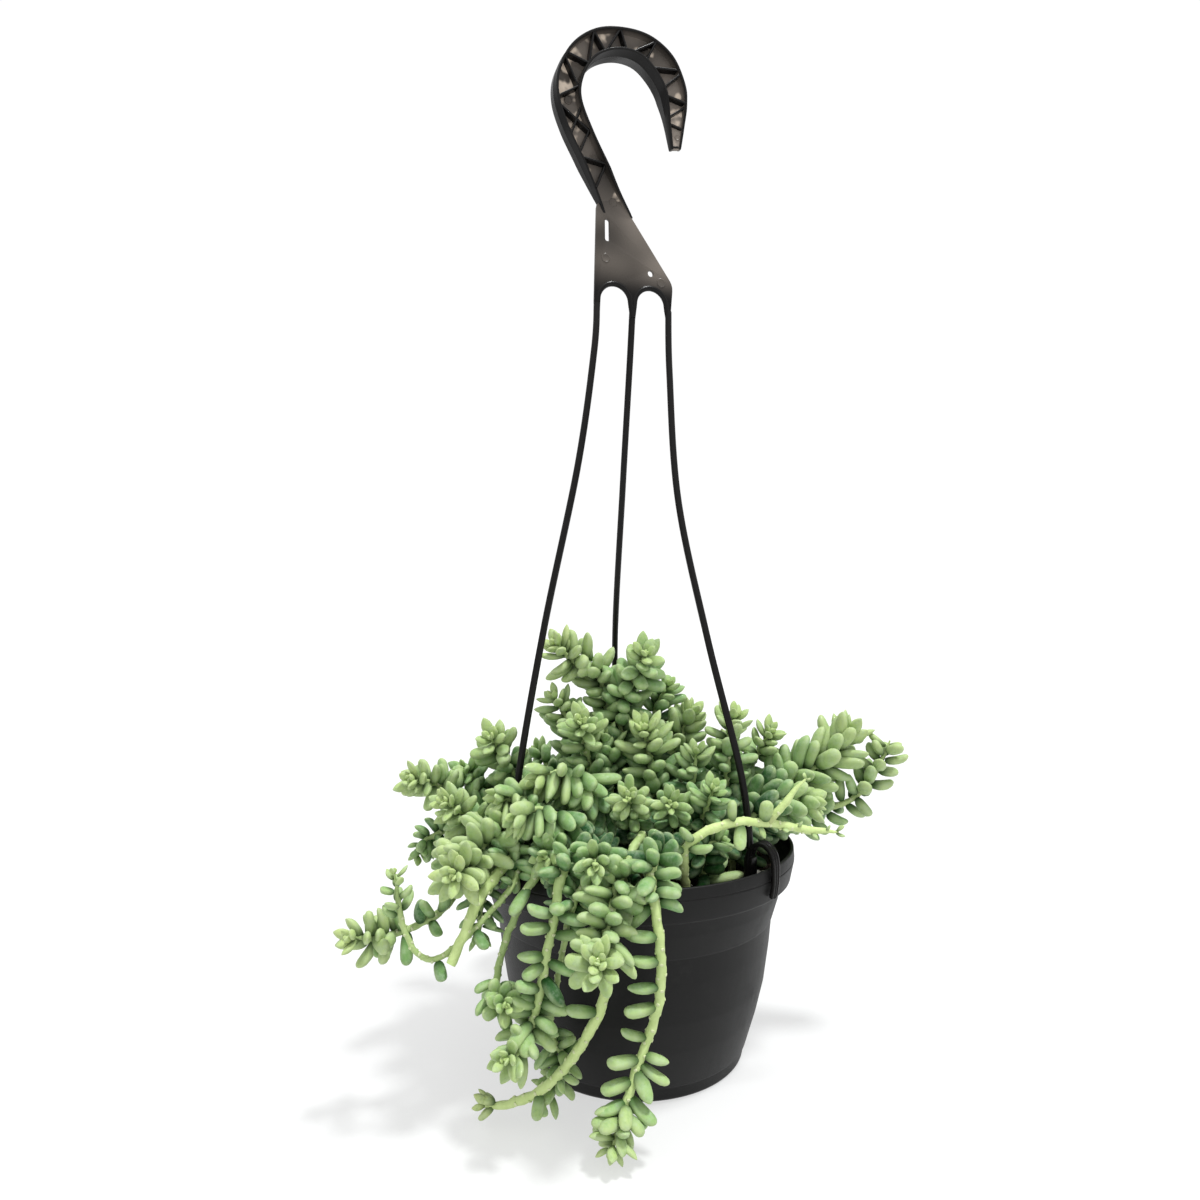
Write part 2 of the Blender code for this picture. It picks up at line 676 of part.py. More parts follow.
def envelope_radii(name, route, lines, hard_lines):
    """The radius of a shoot's plain solid: its leaves' reach, less where a neighbour is near."""
    reach, first, last = SHOOTS[name][1:]
    lengths = [0.0]
    for a, b in zip(route, route[1:]):
        lengths.append(lengths[-1] + (b - a).length)
    radii = []
    for point, length in zip(route, lengths):
        share = length / lengths[-1]
        ramp = min(max((share - first) / 0.1, 0.0), 1.0)
        if last < 1.0:
            ramp = min(ramp, min(max((last + 0.1 - share) / 0.1, 0.0), 1.0))
        wanted = STEM_RADIUS + max(reach - STEM_RADIUS, 0.0) * ramp if reach else STEM_RADIUS
        if last == 1.0 and share > 0.93:
            wanted *= 1.0 - 0.6 * (share - 0.93) / 0.07
        near = min(distance_to_line(point, line) for other, line in lines.items() if other != name)
        room = [
            0.5 * near * 0.9 - SEAT / 2,
            min(distance_to_line(point, line) for line in hard_lines) - WIRE_RADIUS - 2 * SEAT,
            pot_clearance(point) * 0.9 - SEAT,
        ]
        if length > 4.0:
            inside = math.hypot(point.x, point.y) < POT_INSIDE[0][0]
            ground = soil_height(math.hypot(point.x, point.y)) if inside else 0.0
            room.append(point.z - ground - SEAT if inside else point.z)
        if min(room) < 1.0:
            print("tight", name, [round(v, 1) for v in point], [round(v, 1) for v in room])
        radii.append(max(min(wanted, *room), 1.0))
    return radii


def make_shoots(finish_leaf, finish_stem):
    lines = {}
    for name, (route, *_) in SHOOTS.items():
        x, y, _ = route[0]
        ground = soil_height(math.hypot(x, y)) + SEAT
        lines[name] = smooth_route([(x, y, ground), (x, y, ground + 4), *route[1:]], SHOOT_STEP)
    hard_lines = [smooth_route(wire, 14.0) for wire in (WIRE_LEFT, WIRE_MIDDLE, WIRE_RIGHT)]
    for angle in CLIP_ANGLES.values():
        turn = math.radians(angle)
        strap = [
            Vector((r * math.cos(turn), r * math.sin(turn), z)) for r, z in
            [(CLIP_LEG[0], CLIP_LEG[1]), *CLIP_STRAP]
        ]
        hard_lines.append(strap)
    branch = smooth_route(RIGHT_BRANCH, SHOOT_STEP)
    for name, route in lines.items():
        radii = envelope_radii(name, route, lines, hard_lines)
        made = bmesh.new()
        tube(made, route, radii, SHOOT_SIDES)
        bare = SHOOTS[name][1] == 0
        shoot = add_object(name, made, finish_stem if bare else finish_leaf)
        if name == "shoot_right_bare":
            fork = bmesh.new()
            tube(fork, branch, [STEM_RADIUS] * len(branch), SHOOT_SIDES)
            boolean(shoot, helper_object("right_branch", fork), "UNION")


def make_perlite(finish):
    """Grains of white perlite that lie on the soil, each a lumpy ball with a flat underside."""
    for number, (x, y, radius) in enumerate(PERLITE, start=1):
        made = bmesh.new()
        bmesh.ops.create_icosphere(made, subdivisions=2, radius=radius)
        for vert in made.verts:
            lump = 1 + 0.12 * math.sin(2.1 * vert.co.x + number) * math.cos(1.7 * vert.co.y)
            vert.co *= lump
            vert.co.z = max(vert.co.z, -0.55 * radius)
        ground = soil_height(math.hypot(x, y)) + SEAT + 0.55 * radius
        bmesh.ops.translate(made, verts=made.verts[:], vec=(x, y, ground))
        add_object("perlite_%d" % number, made, finish)


clear_scene()
make_pot(material("pot_plastic", (0.035, 0.036, 0.04), 0.55))
make_hanger(material("hanger_plastic", (0.03, 0.028, 0.028), 0.35))
make_soil(material("soil", (0.06, 0.04, 0.028), 0.95))
make_shoots(material("leaf", (0.33, 0.52, 0.27), 0.6), material("stem", (0.6, 0.66, 0.3), 0.55))
make_perlite(material("perlite", (0.78, 0.76, 0.7), 0.9))
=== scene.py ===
# %% [markdown]
# # A burro's tail in a black hanging pot
#
# This lesson dresses a plain CAD model of a potted succulent. The CAD gives the sizes: a pot
# with a hook-shaped hanger, soil, and one plain solid for each shoot of the plant. Here each
# shoot gets its own stem and plump leaves, the pot and hanger get their moulded edges, and
# every surface gets a material made of nodes.
#
# The frame comes first, because every later piece is placed by it. It is in metres, +Z is up,
# the pot's axis is Z and the plant's front looks along -Y. Shapes are drawn in millimetres,
# which are easier to read, and scaled once by `MM`.

# %% Load the frame
import json
import math

import bmesh
import bpy
from mathutils import Matrix, Vector
from mathutils import noise as clouds

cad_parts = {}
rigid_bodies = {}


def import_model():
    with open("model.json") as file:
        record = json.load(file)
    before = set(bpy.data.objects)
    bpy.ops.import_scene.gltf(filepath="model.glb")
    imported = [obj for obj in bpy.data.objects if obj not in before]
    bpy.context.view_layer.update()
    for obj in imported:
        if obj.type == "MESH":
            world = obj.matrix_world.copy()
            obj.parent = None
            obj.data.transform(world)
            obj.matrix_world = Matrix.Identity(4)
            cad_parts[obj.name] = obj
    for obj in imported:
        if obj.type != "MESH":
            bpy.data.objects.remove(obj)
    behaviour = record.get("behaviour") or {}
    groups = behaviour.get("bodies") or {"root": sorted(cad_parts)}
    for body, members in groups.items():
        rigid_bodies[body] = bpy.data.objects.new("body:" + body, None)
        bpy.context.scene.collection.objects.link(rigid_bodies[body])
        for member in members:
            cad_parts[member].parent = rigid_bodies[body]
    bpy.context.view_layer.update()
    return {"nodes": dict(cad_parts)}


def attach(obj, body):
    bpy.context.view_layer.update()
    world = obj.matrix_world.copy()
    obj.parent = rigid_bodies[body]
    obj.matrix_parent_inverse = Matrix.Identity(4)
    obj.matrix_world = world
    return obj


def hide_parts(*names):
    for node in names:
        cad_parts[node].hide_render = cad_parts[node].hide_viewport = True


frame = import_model()
print("nodes in the frame:", len(frame["nodes"]))

MM = 0.001
scene = bpy.context.scene

# %% [markdown]
# ## The camera
#
# The plant is seen from the front, level with the tips of its upper shoots, through a
# moderately wide lens. The camera leans by less than a degree, as one held by hand does.
# The light comes after the node helpers, because the sky is a small node tree too.

# %% Camera
CAMERA_PLACE = (-0.0148, -0.4216, 0.2151)
CAMERA_TILT = math.radians(90.06)
CAMERA_LEAN = math.radians(-0.68)
view = bpy.data.objects.new("front_camera", bpy.data.cameras.new("front_camera"))
view.data.lens = 25.98
view.data.sensor_width = 36.0
view.data.clip_start = 0.01
lean = Matrix.Rotation(CAMERA_TILT, 4, "X") @ Matrix.Rotation(CAMERA_LEAN, 4, "Z")
view.matrix_world = Matrix.Translation(CAMERA_PLACE) @ lean
scene.collection.objects.link(view)
scene.camera = view
scene.view_settings.view_transform = "Standard"

# %% [markdown]
# ## A short way to write node trees
#
# A node tree is a sum written with boxes and wires. To keep the sums readable, `Field` wraps an
# output so that `a * b + c` adds the nodes it needs, for geometry trees and materials alike.
# `add` makes one node and gives back one of its outputs as a field, and `new_tree` starts a
# Geometry Nodes tree with named inputs.


# %% Node helpers
def add(tree, kind, values=(), output=0, **settings):
    """A node with its settings and, by name or number, its inputs; gives one output's field."""
    node = tree.nodes.new(kind)
    for name, value in settings.items():
        setattr(node, name, value)
    for key, value in dict(values).items():
        feed(node.inputs[key], value)
    return Field(node.outputs[output]) if node.outputs else None


def feed(socket, value):
    """Gives an input a value, or links it to a field."""
    if isinstance(value, Field):
        socket.id_data.links.new(value.socket, socket)
    else:
        socket.default_value = value


class Field:
    """An output in a tree. Arithmetic on a number or a vector adds the nodes that do the sum."""

    def __init__(self, socket):
        self.socket = socket
        self.tree = socket.id_data
        self.vector = socket.type in ("VECTOR", "RGBA")

    def maths(self, operation, *others):
        values = dict(enumerate((self, *others)))
        return add(self.tree, "ShaderNodeMath", values, operation=operation)

    def vectors(self, operation, *others, output=0):
        second = "Scale" if operation == "SCALE" else 1
        values = dict(zip((0, second), (self, *others)))
        return add(self.tree, "ShaderNodeVectorMath", values, output, operation=operation)

    def joined(self, operation, other):
        other_vector = getattr(other, "vector", isinstance(other, (tuple, Vector)))
        if not self.vector and not other_vector:
            return self.maths(operation, other)
        if operation == "MULTIPLY" and self.vector and not other_vector:
            return self.vectors("SCALE", other)
        if operation == "MULTIPLY" and not self.vector:
            return other.vectors("SCALE", self)
        return self.vectors(operation, other)

    def __add__(self, other):
        return self.joined("ADD", other)

    def __sub__(self, other):
        return self.joined("SUBTRACT", other)

    def __mul__(self, other):
        return self.joined("MULTIPLY", other)

    def __truediv__(self, other):
        return self.maths("DIVIDE", other)

    def __rsub__(self, other):
        return (self * -1.0) + other

    __radd__ = __add__
    __rmul__ = __mul__

    def above(self, limit):
        """1 where the number is above the limit, and 0 elsewhere."""
        return self.maths("GREATER_THAN", limit)

    def clamped(self, low=0.0, high=1.0):
        return self.maths("MAXIMUM", low).maths("MINIMUM", high)

    def ramp(self, low, high):
        """0 up to low, 1 from high on, and a smooth rise between them."""
        values = {"Value": self, "From Min": low, "From Max": high}
        return add(self.tree, "ShaderNodeMapRange", values, interpolation_type="SMOOTHSTEP")

    def parts(self):
        """The three numbers of a vector."""
        first = add(self.tree, "ShaderNodeSeparateXYZ", {0: self})
        return [Field(out) for out in first.socket.node.outputs]


def combined(tree, x, y, z):
    return add(tree, "ShaderNodeCombineXYZ", {0: x, 1: y, 2: z})


def new_tree(name, **inputs):
    """A Geometry Nodes tree, its inputs as fields by name, and a function that ends it."""
    tree = bpy.data.node_groups.new(name, "GeometryNodeTree")
    face = tree.interface
    face.new_socket(name="Geometry", in_out="OUTPUT", socket_type="NodeSocketGeometry")
    for label, kind in {"geometry": "geometry", **inputs, "material": "material"}.items():
        face.new_socket(name=label, in_out="INPUT", socket_type="NodeSocket" + kind.title())
    entry = tree.nodes.new("NodeGroupInput")
    given = {socket.name: Field(socket) for socket in entry.outputs if socket.name}

    def finish(made):
        """Realises the copies, gives them the material, and ends the tree."""
        real = add(tree, "GeometryNodeRealizeInstances", {0: made})
        smooth = add(tree, "GeometryNodeSetShadeSmooth", {0: real})
        dressed = add(tree, "GeometryNodeSetMaterial", {0: smooth, "Material": given["material"]})
        add(tree, "NodeGroupOutput", {0: dressed})
        return tree

    return tree, given, finish


def random_number(tree, low, high, seed, offset):
    values = {2: low, 3: high, "Seed": seed + float(offset)}
    return add(tree, "FunctionNodeRandomValue", values, output=1, data_type="FLOAT")


def store(tree, made, **values):
    """Keeps values on the points under these names, for the material."""
    for name, value in values.items():
        made = add(
            tree, "GeometryNodeStoreNamedAttribute", {0: made, "Name": name, "Value": value},
            data_type="FLOAT", domain="POINT",
        )
    return made


def kept_value(tree, name, kind="FLOAT"):
    """A value that each point of the source mesh stores under this name."""
    return add(tree, "GeometryNodeInputNamedAttribute", {"Name": name}, data_type=kind)


def instanced(tree, points, shape, aim, out, size, further=()):
    """Copies of a shape on these points: Z runs along `aim`, Y leans to `out`."""
    turn = add(
        tree, "FunctionNodeAxesToRotation", {0: aim, 1: out}, primary_axis="Z", secondary_axis="Y"
    )
    values = {"Points": points, "Instance": shape, "Rotation": turn, "Scale": size}
    values.update(further)
    return add(tree, "GeometryNodeInstanceOnPoints", values)


def swept(tree, route, sides, radius):
    """A round tube along a curve."""
    profile = add(
        tree, "GeometryNodeCurvePrimitiveCircle", {"Resolution": sides, "Radius": 1.0}
    )
    values = {"Curve": route, "Profile Curve": profile, "Scale": radius, "Fill Caps": True}
    return add(tree, "GeometryNodeCurveToMesh", values)


# %% [markdown]
# A tree's result is turned into a plain mesh before it is shown, so that a piece has no
# modifier left on it. Each finished piece is tied to the body that it rides on and to the plain
# solids that it replaces.


# %% Helpers for finished pieces
def result_of(maker):
    """The mesh that an object shows once its modifiers have run."""
    graph = bpy.context.evaluated_depsgraph_get()
    return bpy.data.meshes.new_from_object(maker.evaluated_get(graph), depsgraph=graph)


def placed(name, mesh, finish=None):
    """A mesh as an object at the origin."""
    if finish:
        mesh.materials.append(finish)
    made = bpy.data.objects.new(name, mesh)
    scene.collection.objects.link(made)
    return made


def grown(name, source, tree, **values):
    """A plain mesh object made by a tree from a source mesh, with the given inputs."""
    seed = placed("seed_" + name, source)
    step = seed.modifiers.new(tree.name, "NODES")
    step.node_group = tree
    for item in tree.interface.items_tree:
        if item.in_out == "INPUT" and item.name in values:
            step[item.identifier] = values[item.name]
    mesh = result_of(seed)
    bpy.data.objects.remove(seed)
    mesh.name = name
    return placed(name, mesh)


def stands_for(piece, slot, *nodes):
    """Ties a finished piece to the frame: it rides on the body and replaces these solids."""
    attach(piece, "root")
    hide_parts(*nodes)
    return piece


# %% [markdown]
# ## Materials
#
# Every finish is a Principled shader whose colour, roughness and bump come from noise in the
# piece's own coordinates, and, on the plant, from values stored on each leaf: how old it is,
# how light its green is, which carries painted shade too, and how far along the leaf a point
# lies. The coordinates are in metres, so a noise scale of 500 makes marks about 2 mm across.


# %% Material helpers
def finish_of(name, specular=0.5):
    """A new Principled material, its tree and its shader."""
    made = bpy.data.materials.new(name)
    made.use_nodes = True
    shader = made.node_tree.nodes["Principled BSDF"]
    shader.inputs["Specular IOR Level"].default_value = specular
    return made, made.node_tree, shader


def noise(tree, scale, detail=3.0, stretch=None, roughness=0.55):
    """Noise between 0 and 1 in object coordinates, stretched along an axis if asked."""
    place = add(tree, "ShaderNodeTexCoord", output="Object")
    if stretch:
        place = place * stretch
    values = {"Vector": place, "Scale": scale, "Detail": detail, "Roughness": roughness}
    return add(tree, "ShaderNodeTexNoise", values)


def stored(tree, *names):
    """The values stored on the mesh under these names."""
    return [add(tree, "ShaderNodeAttribute", output="Fac", attribute_name=n) for n in names]


def between(tree, share, first, second):
    """A colour that runs from the first to the second."""
    ends = [(*end, 1.0) if isinstance(end, tuple) else end for end in (first, second)]
    return add(tree, "ShaderNodeMix", {0: share, 6: ends[0], 7: ends[1]}, 2, data_type="RGBA")


def dress(tree, shader, colour, roughness, bumps, strength, depth):
    """Gives a shader its colour, its roughness and its bumps, which are `depth` metres deep."""
    feed(shader.inputs["Base Color"], colour)
    feed(shader.inputs["Roughness"], roughness)
    bump = add(
        tree, "ShaderNodeBump", {"Strength": strength, "Distance": depth, "Height": bumps}
    )
    feed(shader.inputs["Normal"], bump)


# %% [markdown]
# ### Leaf and stem
#
# The leaves carry the picture. Their colour is built in layers, as a painter would do it: a
# green that runs from deep to pale by the leaf's tone, which also holds painted shade, small
# darker spots, a paler tip and a paler rim that is partly a painted rim highlight, the powdery
# bloom over it all, and last a painted shade near the neck and on the darkest leaves. A stem is
# yellow-green where it is young and corky near the soil.


# %% Leaf and stem finish
def leaf_finish():
    """Pale green skin under a powdery bloom, yellower when young; painted shade at the neck."""
    made, tree, shader = finish_of("leaf_skin")
    shader.inputs["Sheen Weight"].default_value = 0.05
    shader.inputs["Sheen Roughness"].default_value = 0.4
    shader.inputs["Sheen Tint"].default_value = (0.80, 0.95, 0.70, 1.0)
    tone, youth, along, edge = stored(tree, "tone", "youth", "along", "edge")
    patches = noise(tree, 150.0)
    shade = tone * 0.45 + 0.58 + (patches - 0.5) * 0.5
    lightness = shade.clamped()
    deep = between(tree, lightness.ramp(0.0, 0.55), (0.018, 0.096, 0.032), (0.190, 0.365, 0.125))
    skin = between(tree, lightness.ramp(0.35, 1.0), deep, (0.385, 0.51, 0.21))
    pale = between(tree, shade.ramp(0.95, 1.5) * 0.8, skin, (0.49, 0.58, 0.25))
    young = between(tree, youth.clamped() * 0.5, pale, (0.46, 0.58, 0.18))
    mottle = noise(tree, 700.0).ramp(0.45, 0.75)
    mottled = between(tree, mottle * (1.0 - edge) * 0.42, young, (0.085, 0.215, 0.070))
    # Paler tip; the paler rim is partly the leaf's own colour, partly a painted rim highlight.
    rim = edge.ramp(0.55, 1.0) * 0.34 + along.ramp(0.84, 1.0) * 0.30
    pale_rim_and_highlight = between(tree, rim, mottled, (0.48, 0.57, 0.29))
    bloom = noise(tree, 330.0, 4.0, roughness=0.7).ramp(0.40, 0.68)
    powdery = between(tree, bloom * 0.34, pale_rim_and_highlight, (0.44, 0.54, 0.40))
    # Painted shade: near-black green at the neck and on the darkest leaves, with less shine there.
    painted_hollow_shade = (1.0 - along).ramp(0.45, 1.0) * (1.0 - youth).clamped()
    painted_hollow_shade = (painted_hollow_shade + (1.0 - shade.ramp(-0.3, 0.2))).clamped() * 0.9
    shaded = between(tree, painted_hollow_shade, powdery, (0.009, 0.052, 0.008))
    feed(shader.inputs["Specular IOR Level"], 0.14 - painted_hollow_shade * 0.13)
    feed(shader.inputs["Coat Weight"], 0.05 - painted_hollow_shade * 0.05)
    grain = noise(tree, 2600.0, 2.0) * 0.35 + noise(tree, 300.0, 2.0)
    dress(tree, shader, shaded, bloom * 0.22 + 0.42, grain, 0.5, 0.0006)
    return made


def stem_finish():
    """Yellow-green stem, paler at the scars, corky near the soil and ridged along its length."""
    made, tree, shader = finish_of("stem_skin", 0.35)
    along, scar, tone = stored(tree, "along", "scar", "tone")
    streaks = noise(tree, 300.0)
    pale = between(tree, streaks, (0.44, 0.58, 0.19), (0.64, 0.76, 0.36))
    green = between(tree, streaks, (0.17, 0.29, 0.09), (0.33, 0.45, 0.19))
    skin = between(tree, (tone * 0.5 + 0.5).clamped(), green, pale)
    corky = between(tree, (1.0 - along).ramp(0.70, 1.0) * 0.5, skin, (0.26, 0.24, 0.11))
    scarred = between(tree, scar * 0.6, corky, (0.66, 0.68, 0.46))
    ridges = noise(tree, 900.0) + streaks
    dress(tree, shader, scarred, streaks * 0.25 + 0.4, ridges, 0.55, 0.0006)
    return made


# %% [markdown]
# ### Plastic, soil and perlite
#
# Black plastic needs a very low base colour, because its shape shows in its shine alone. The
# pot is matt and a little dusty, and the hanger is satin. Soil and perlite are rough all over,
# with bumps of half a millimetre.


# %% Pot, hanger and soil finish
def pot_finish():
    """Matt black moulded plastic with a fine grain, faint upright flow marks and dust."""
    made, tree, shader = finish_of("pot_plastic", 0.2)
    flow = noise(tree, 120.0, stretch=(1.0, 1.0, 0.06))
    dust = noise(tree, 70.0, 6.0, roughness=0.7).ramp(0.52, 0.80)
    black = between(tree, flow, (0.004, 0.004, 0.004), (0.008, 0.008, 0.008))
    dusty = between(tree, dust * 0.12, black, (0.09, 0.09, 0.088))
    grain = noise(tree, 3200.0, 2.0) * 0.5 + flow * 0.6
    dress(tree, shader, dusty, flow * 0.12 + dust * 0.15 + 0.42, grain, 0.5, 0.0003)
    return made


def hanger_finish():
    """Black satin plastic; its flat faces are brownish, and the web has dented spots with painted
    glints.
    """
    made, tree, shader = finish_of("hanger_plastic", 0.18)
    across, _, height = add(tree, "ShaderNodeTexCoord", output="Object").parts()
    flat, = stored(tree, "flat")
    broad = noise(tree, 24.0, 1.0)
    # Painted glints: bright peach spots on the web stand in for highlights, more on the left limb.
    rubbed = (1.0 - across.ramp(-0.026, -0.014)) * 0.15
    dents_and_glints = (noise(tree, 95.0, 2.0) + rubbed).ramp(0.60, 0.70) * flat.ramp(0.92, 1.0)
    black = between(tree, noise(tree, 300.0), (0.003, 0.003, 0.003), (0.008, 0.007, 0.007))
    brown = between(tree, broad.ramp(0.3, 0.7), (0.026, 0.023, 0.020), (0.250, 0.215, 0.185))
    # The brown, with the painted glints laid on the web.
    worn = between(tree, dents_and_glints * 0.9, brown, (0.90, 0.76, 0.62))
    plastic = between(tree, flat * height.ramp(0.363, 0.382), black, worn)
    bumps = broad + dents_and_glints * 0.5 + noise(tree, 900.0) * 0.1
    dress(tree, shader, plastic, broad * 0.16 + 0.2, bumps, 0.35, 0.0008)
    return made


def soil_finish():
    """Dark peat and bark, each grain a little different."""
    made, tree, shader = finish_of("soil", 0.2)
    tone, = stored(tree, "tone")
    fibres = noise(tree, 500.0, 5.0)
    dark = between(tree, fibres, (0.008, 0.006, 0.005), (0.032, 0.021, 0.014))
    peat = between(tree, tone * 0.7, dark, (0.085, 0.052, 0.030))
    dress(tree, shader, peat, fibres * 0.2 + 0.75, noise(tree, 1500.0, 4.0), 0.7, 0.0006)
    return made


def perlite_finish():
    """White puffed mineral, pitted and a little dirty."""
    made, tree, shader = finish_of("perlite", 0.3)
    pits = noise(tree, 1300.0, 4.0)
    white = between(tree, pits, (0.45, 0.42, 0.36), (0.82, 0.80, 0.75))
    dress(tree, shader, white, pits * 0.2 + 0.7, pits, 0.9, 0.0006)
    return made


LEAF, STEM, POT = leaf_finish(), stem_finish(), pot_finish()
HANGER, SOIL, PERLITE = hanger_finish(), soil_finish(), perlite_finish()
print("materials:", len(bpy.data.materials))

# %% [markdown]
# ## The light
#
# Powdery leaves want soft light with a clear direction: flat light would hide the hollows
# between them, and hard light would make them look like glass. So a wide lamp stands high, a
# little to the right and in front, and the sky is brighter overhead and in front than behind.
# The camera itself sees a plain white room, which the Light Path node tells apart from the
# light that falls on the plant.

# %% Lamp and sky
TOWARDS_LAMP = Vector((0.26, -0.16, 1.0))
key = bpy.data.lights.new("key_light", "SUN")
key.energy = 2.6
key.angle = math.radians(8)
key.color = (0.985, 1.0, 0.99)
held = bpy.data.objects.new("key_light", key)
held.matrix_world = TOWARDS_LAMP.to_track_quat("Z", "Y").to_matrix().to_4x4()
scene.collection.objects.link(held)


def white_room():
    made = bpy.data.worlds.new("white_room")
    made.use_nodes = True
    tree = made.node_tree
    _, depth, height = add(tree, "ShaderNodeTexCoord", output="Generated").parts()
    overhead, in_front = height.ramp(-0.15, 0.9), (depth * -1.0).ramp(-0.2, 0.9)
    glow = overhead * 0.66 + in_front * 0.30 + 0.32
    seen = add(tree, "ShaderNodeLightPath", output="Is Camera Ray")
    lamp = tree.nodes["Background"]
    lamp.inputs["Color"].default_value = (1.0, 1.0, 1.0, 1.0)
    feed(lamp.inputs["Strength"], glow * (1.0 - seen) + seen * 1.02)
    return made


scene.world = white_room()

# %% [markdown]
# ## Lines and turned shapes
#
# Most of this object is a line with some thickness: a wire, a hook, a stem, the outline of the
# pot. Each line is a few points, and a Catmull-Rom curve passes smoothly through them. Where
# two straight runs of moulded plastic meet, the corner is rounded instead, because a real
# mould has no knife edges and the small curve is what catches the light.


# %% Helpers for lines
def on_route(route, at):
    """The place at `at` on a smooth curve through the route, where 2.5 is past its third point."""
    k = min(int(at), len(route) - 2)
    t = at - k
    before, first, second, after = (
        Vector(route[min(max(k + shift, 0), len(route) - 1)]) for shift in (-1, 0, 1, 2)
    )
    return 0.5 * (
        2 * first + (second - before) * t + (2 * before - 5 * first + 4 * second - after) * t**2
        + (3 * first - before - 3 * second + after) * t**3
    )


def smooth_line(route, count):
    """`count` points on the smooth curve through a route."""
    return [on_route(route, (len(route) - 1) * k / (count - 1)) for k in range(count)]


def rounded(line, radius, steps=3):
    """The line with each corner replaced by a small curve of this radius."""
    points = [Vector(p) for p in line]
    made = [points[0]]
    for before, corner, after in zip(points, points[1:], points[2:]):
        back, on = before - corner, after - corner
        cut = min(radius, 0.45 * back.length, 0.45 * on.length)
        start, end = corner + back.normalized() * cut, corner + on.normalized() * cut
        for step in range(steps + 1):
            t = step / steps
            made.append(start * (1 - t) ** 2 + corner * 2 * t * (1 - t) + end * t**2)
    return [*made, points[-1]]


# %% [markdown]
# The trees start from source meshes: a line, or a set of points that keep numbers under names.
# Turned and swept shapes are rings of points joined into a skin, which is easier to control
# than a modifier where the section changes on the way.


# %% Helpers for meshes
def line_mesh(name, points):
    """A source mesh for a tree: points joined into one line."""
    mesh = bpy.data.meshes.new("line_" + name)
    mesh.from_pydata(points, [(k, k + 1) for k in range(len(points) - 1)], [])
    return mesh


def point_mesh(name, spots, **columns):
    """A source mesh for a tree: points that keep a number or a vector under each name."""
    mesh = bpy.data.meshes.new("points_" + name)
    mesh.from_pydata(spots, [], [])
    for label, values in columns.items():
        if isinstance(values[0], (tuple, Vector)):
            kept = mesh.attributes.new(label, "FLOAT_VECTOR", "POINT")
            kept.data.foreach_set("vector", [number for value in values for number in value])
        else:
            mesh.attributes.new(label, "FLOAT", "POINT").data.foreach_set("value", values)
    return mesh


def fill_attribute(mesh, name, value):
    """Stores one number on every point of a mesh."""
    kept = mesh.attributes.new(name, "FLOAT", "POINT")
    kept.data.foreach_set("value", [value] * len(mesh.vertices))


def circle(radius, height, sides):
    """Points round a circle about Z."""
    turns = [math.tau * k / sides for k in range(sides)]
    return [(radius * math.cos(a), radius * math.sin(a), height) for a in turns]


def joined_rings(made, rings, capped=True):
    """Joins rings of vertices into a skin, with a face at either end."""
    for low, high in zip(rings, rings[1:]):
        for k in range(len(low)):
            corners = [low[k - 1], low[k], high[k], high[k - 1]]
            made.faces.new(list(dict.fromkeys(corners)))
    if capped:
        made.faces.new(list(reversed(rings[0])))
        made.faces.new(rings[-1])


def turned(outline, sides):
    """A bmesh turned about Z from (radius, height) points that start and end on the axis."""
    made = bmesh.new()
    rings = []
    for radius, height in outline:
        if radius == 0:
            rings.append([made.verts.new((0, 0, height))] * sides)
        else:
            rings.append([made.verts.new(spot) for spot in circle(radius, height, sides)])
    joined_rings(made, rings, capped=False)
    return made


def mesh_of(name, made, crease=40.0, scale=MM):
    """A smooth-shaded mesh from a bmesh, in metres, with creases sharper than an angle kept."""
    bmesh.ops.recalc_face_normals(made, faces=made.faces[:])
    bmesh.ops.scale(made, vec=(scale, scale, scale), verts=made.verts[:])
    mesh = bpy.data.meshes.new(name)
    made.to_mesh(mesh)
    made.free()
    mesh.shade_smooth()
    if crease:
        mesh.set_sharp_from_angle(angle=math.radians(crease))
    return mesh


def soft_edged(piece, width):
    """Rounds the piece's edges by a width in millimetres."""
    step = piece.modifiers.new("rounded_edges", "BEVEL")
    step.width = width * MM
    step.segments = 2
    step.limit_method = "ANGLE"
    step.angle_limit = math.radians(40)
    mesh = result_of(piece)
    piece.modifiers.clear()
    piece.data = mesh
    mesh.shade_smooth()
    mesh.set_sharp_from_angle(angle=math.radians(60))
    return piece


# %% [markdown]
# ## The floor
#
# A plain white disc, so wide that its edge is lost in the white of the room. It is pale rather
# than white and gives off a little light of its own, which keeps the shadow of the pot light
# without lighting the leaves much from below.


# %% Floor
def floor_finish():
    made, tree, shader = finish_of("white_floor", 0.2)
    cloud = noise(tree, 3.0, 2.0)
    pale = between(tree, cloud, (0.31, 0.315, 0.32), (0.34, 0.34, 0.34))
    feed(shader.inputs["Base Color"], pale)
    feed(shader.inputs["Roughness"], cloud * 0.1 + 0.55)
    shader.inputs["Emission Color"].default_value = (1.0, 1.0, 1.0, 1.0)
    shader.inputs["Emission Strength"].default_value = 0.57
    return made


disc = turned([(0, 0), (200, 0), (600, 0), (2000, 0), (8000, 0)], 96)
placed("floor", mesh_of("floor", disc), floor_finish())

# %% [markdown]
# ## The pot
#
# A thin moulded pot: the wall leans outwards, steps out at a shoulder, and carries a deep rim
# with a fine groove near its top edge. It could be modelled from a cylinder by scaling loops,
# but it is a turned shape, so its outline is written once and spun about Z: up the outside and
# back down the inside. The outline's corners are rounded before it is spun. Six drain holes
# are the same drill repeated on a ring, so a small Geometry Nodes tree makes and cuts them.

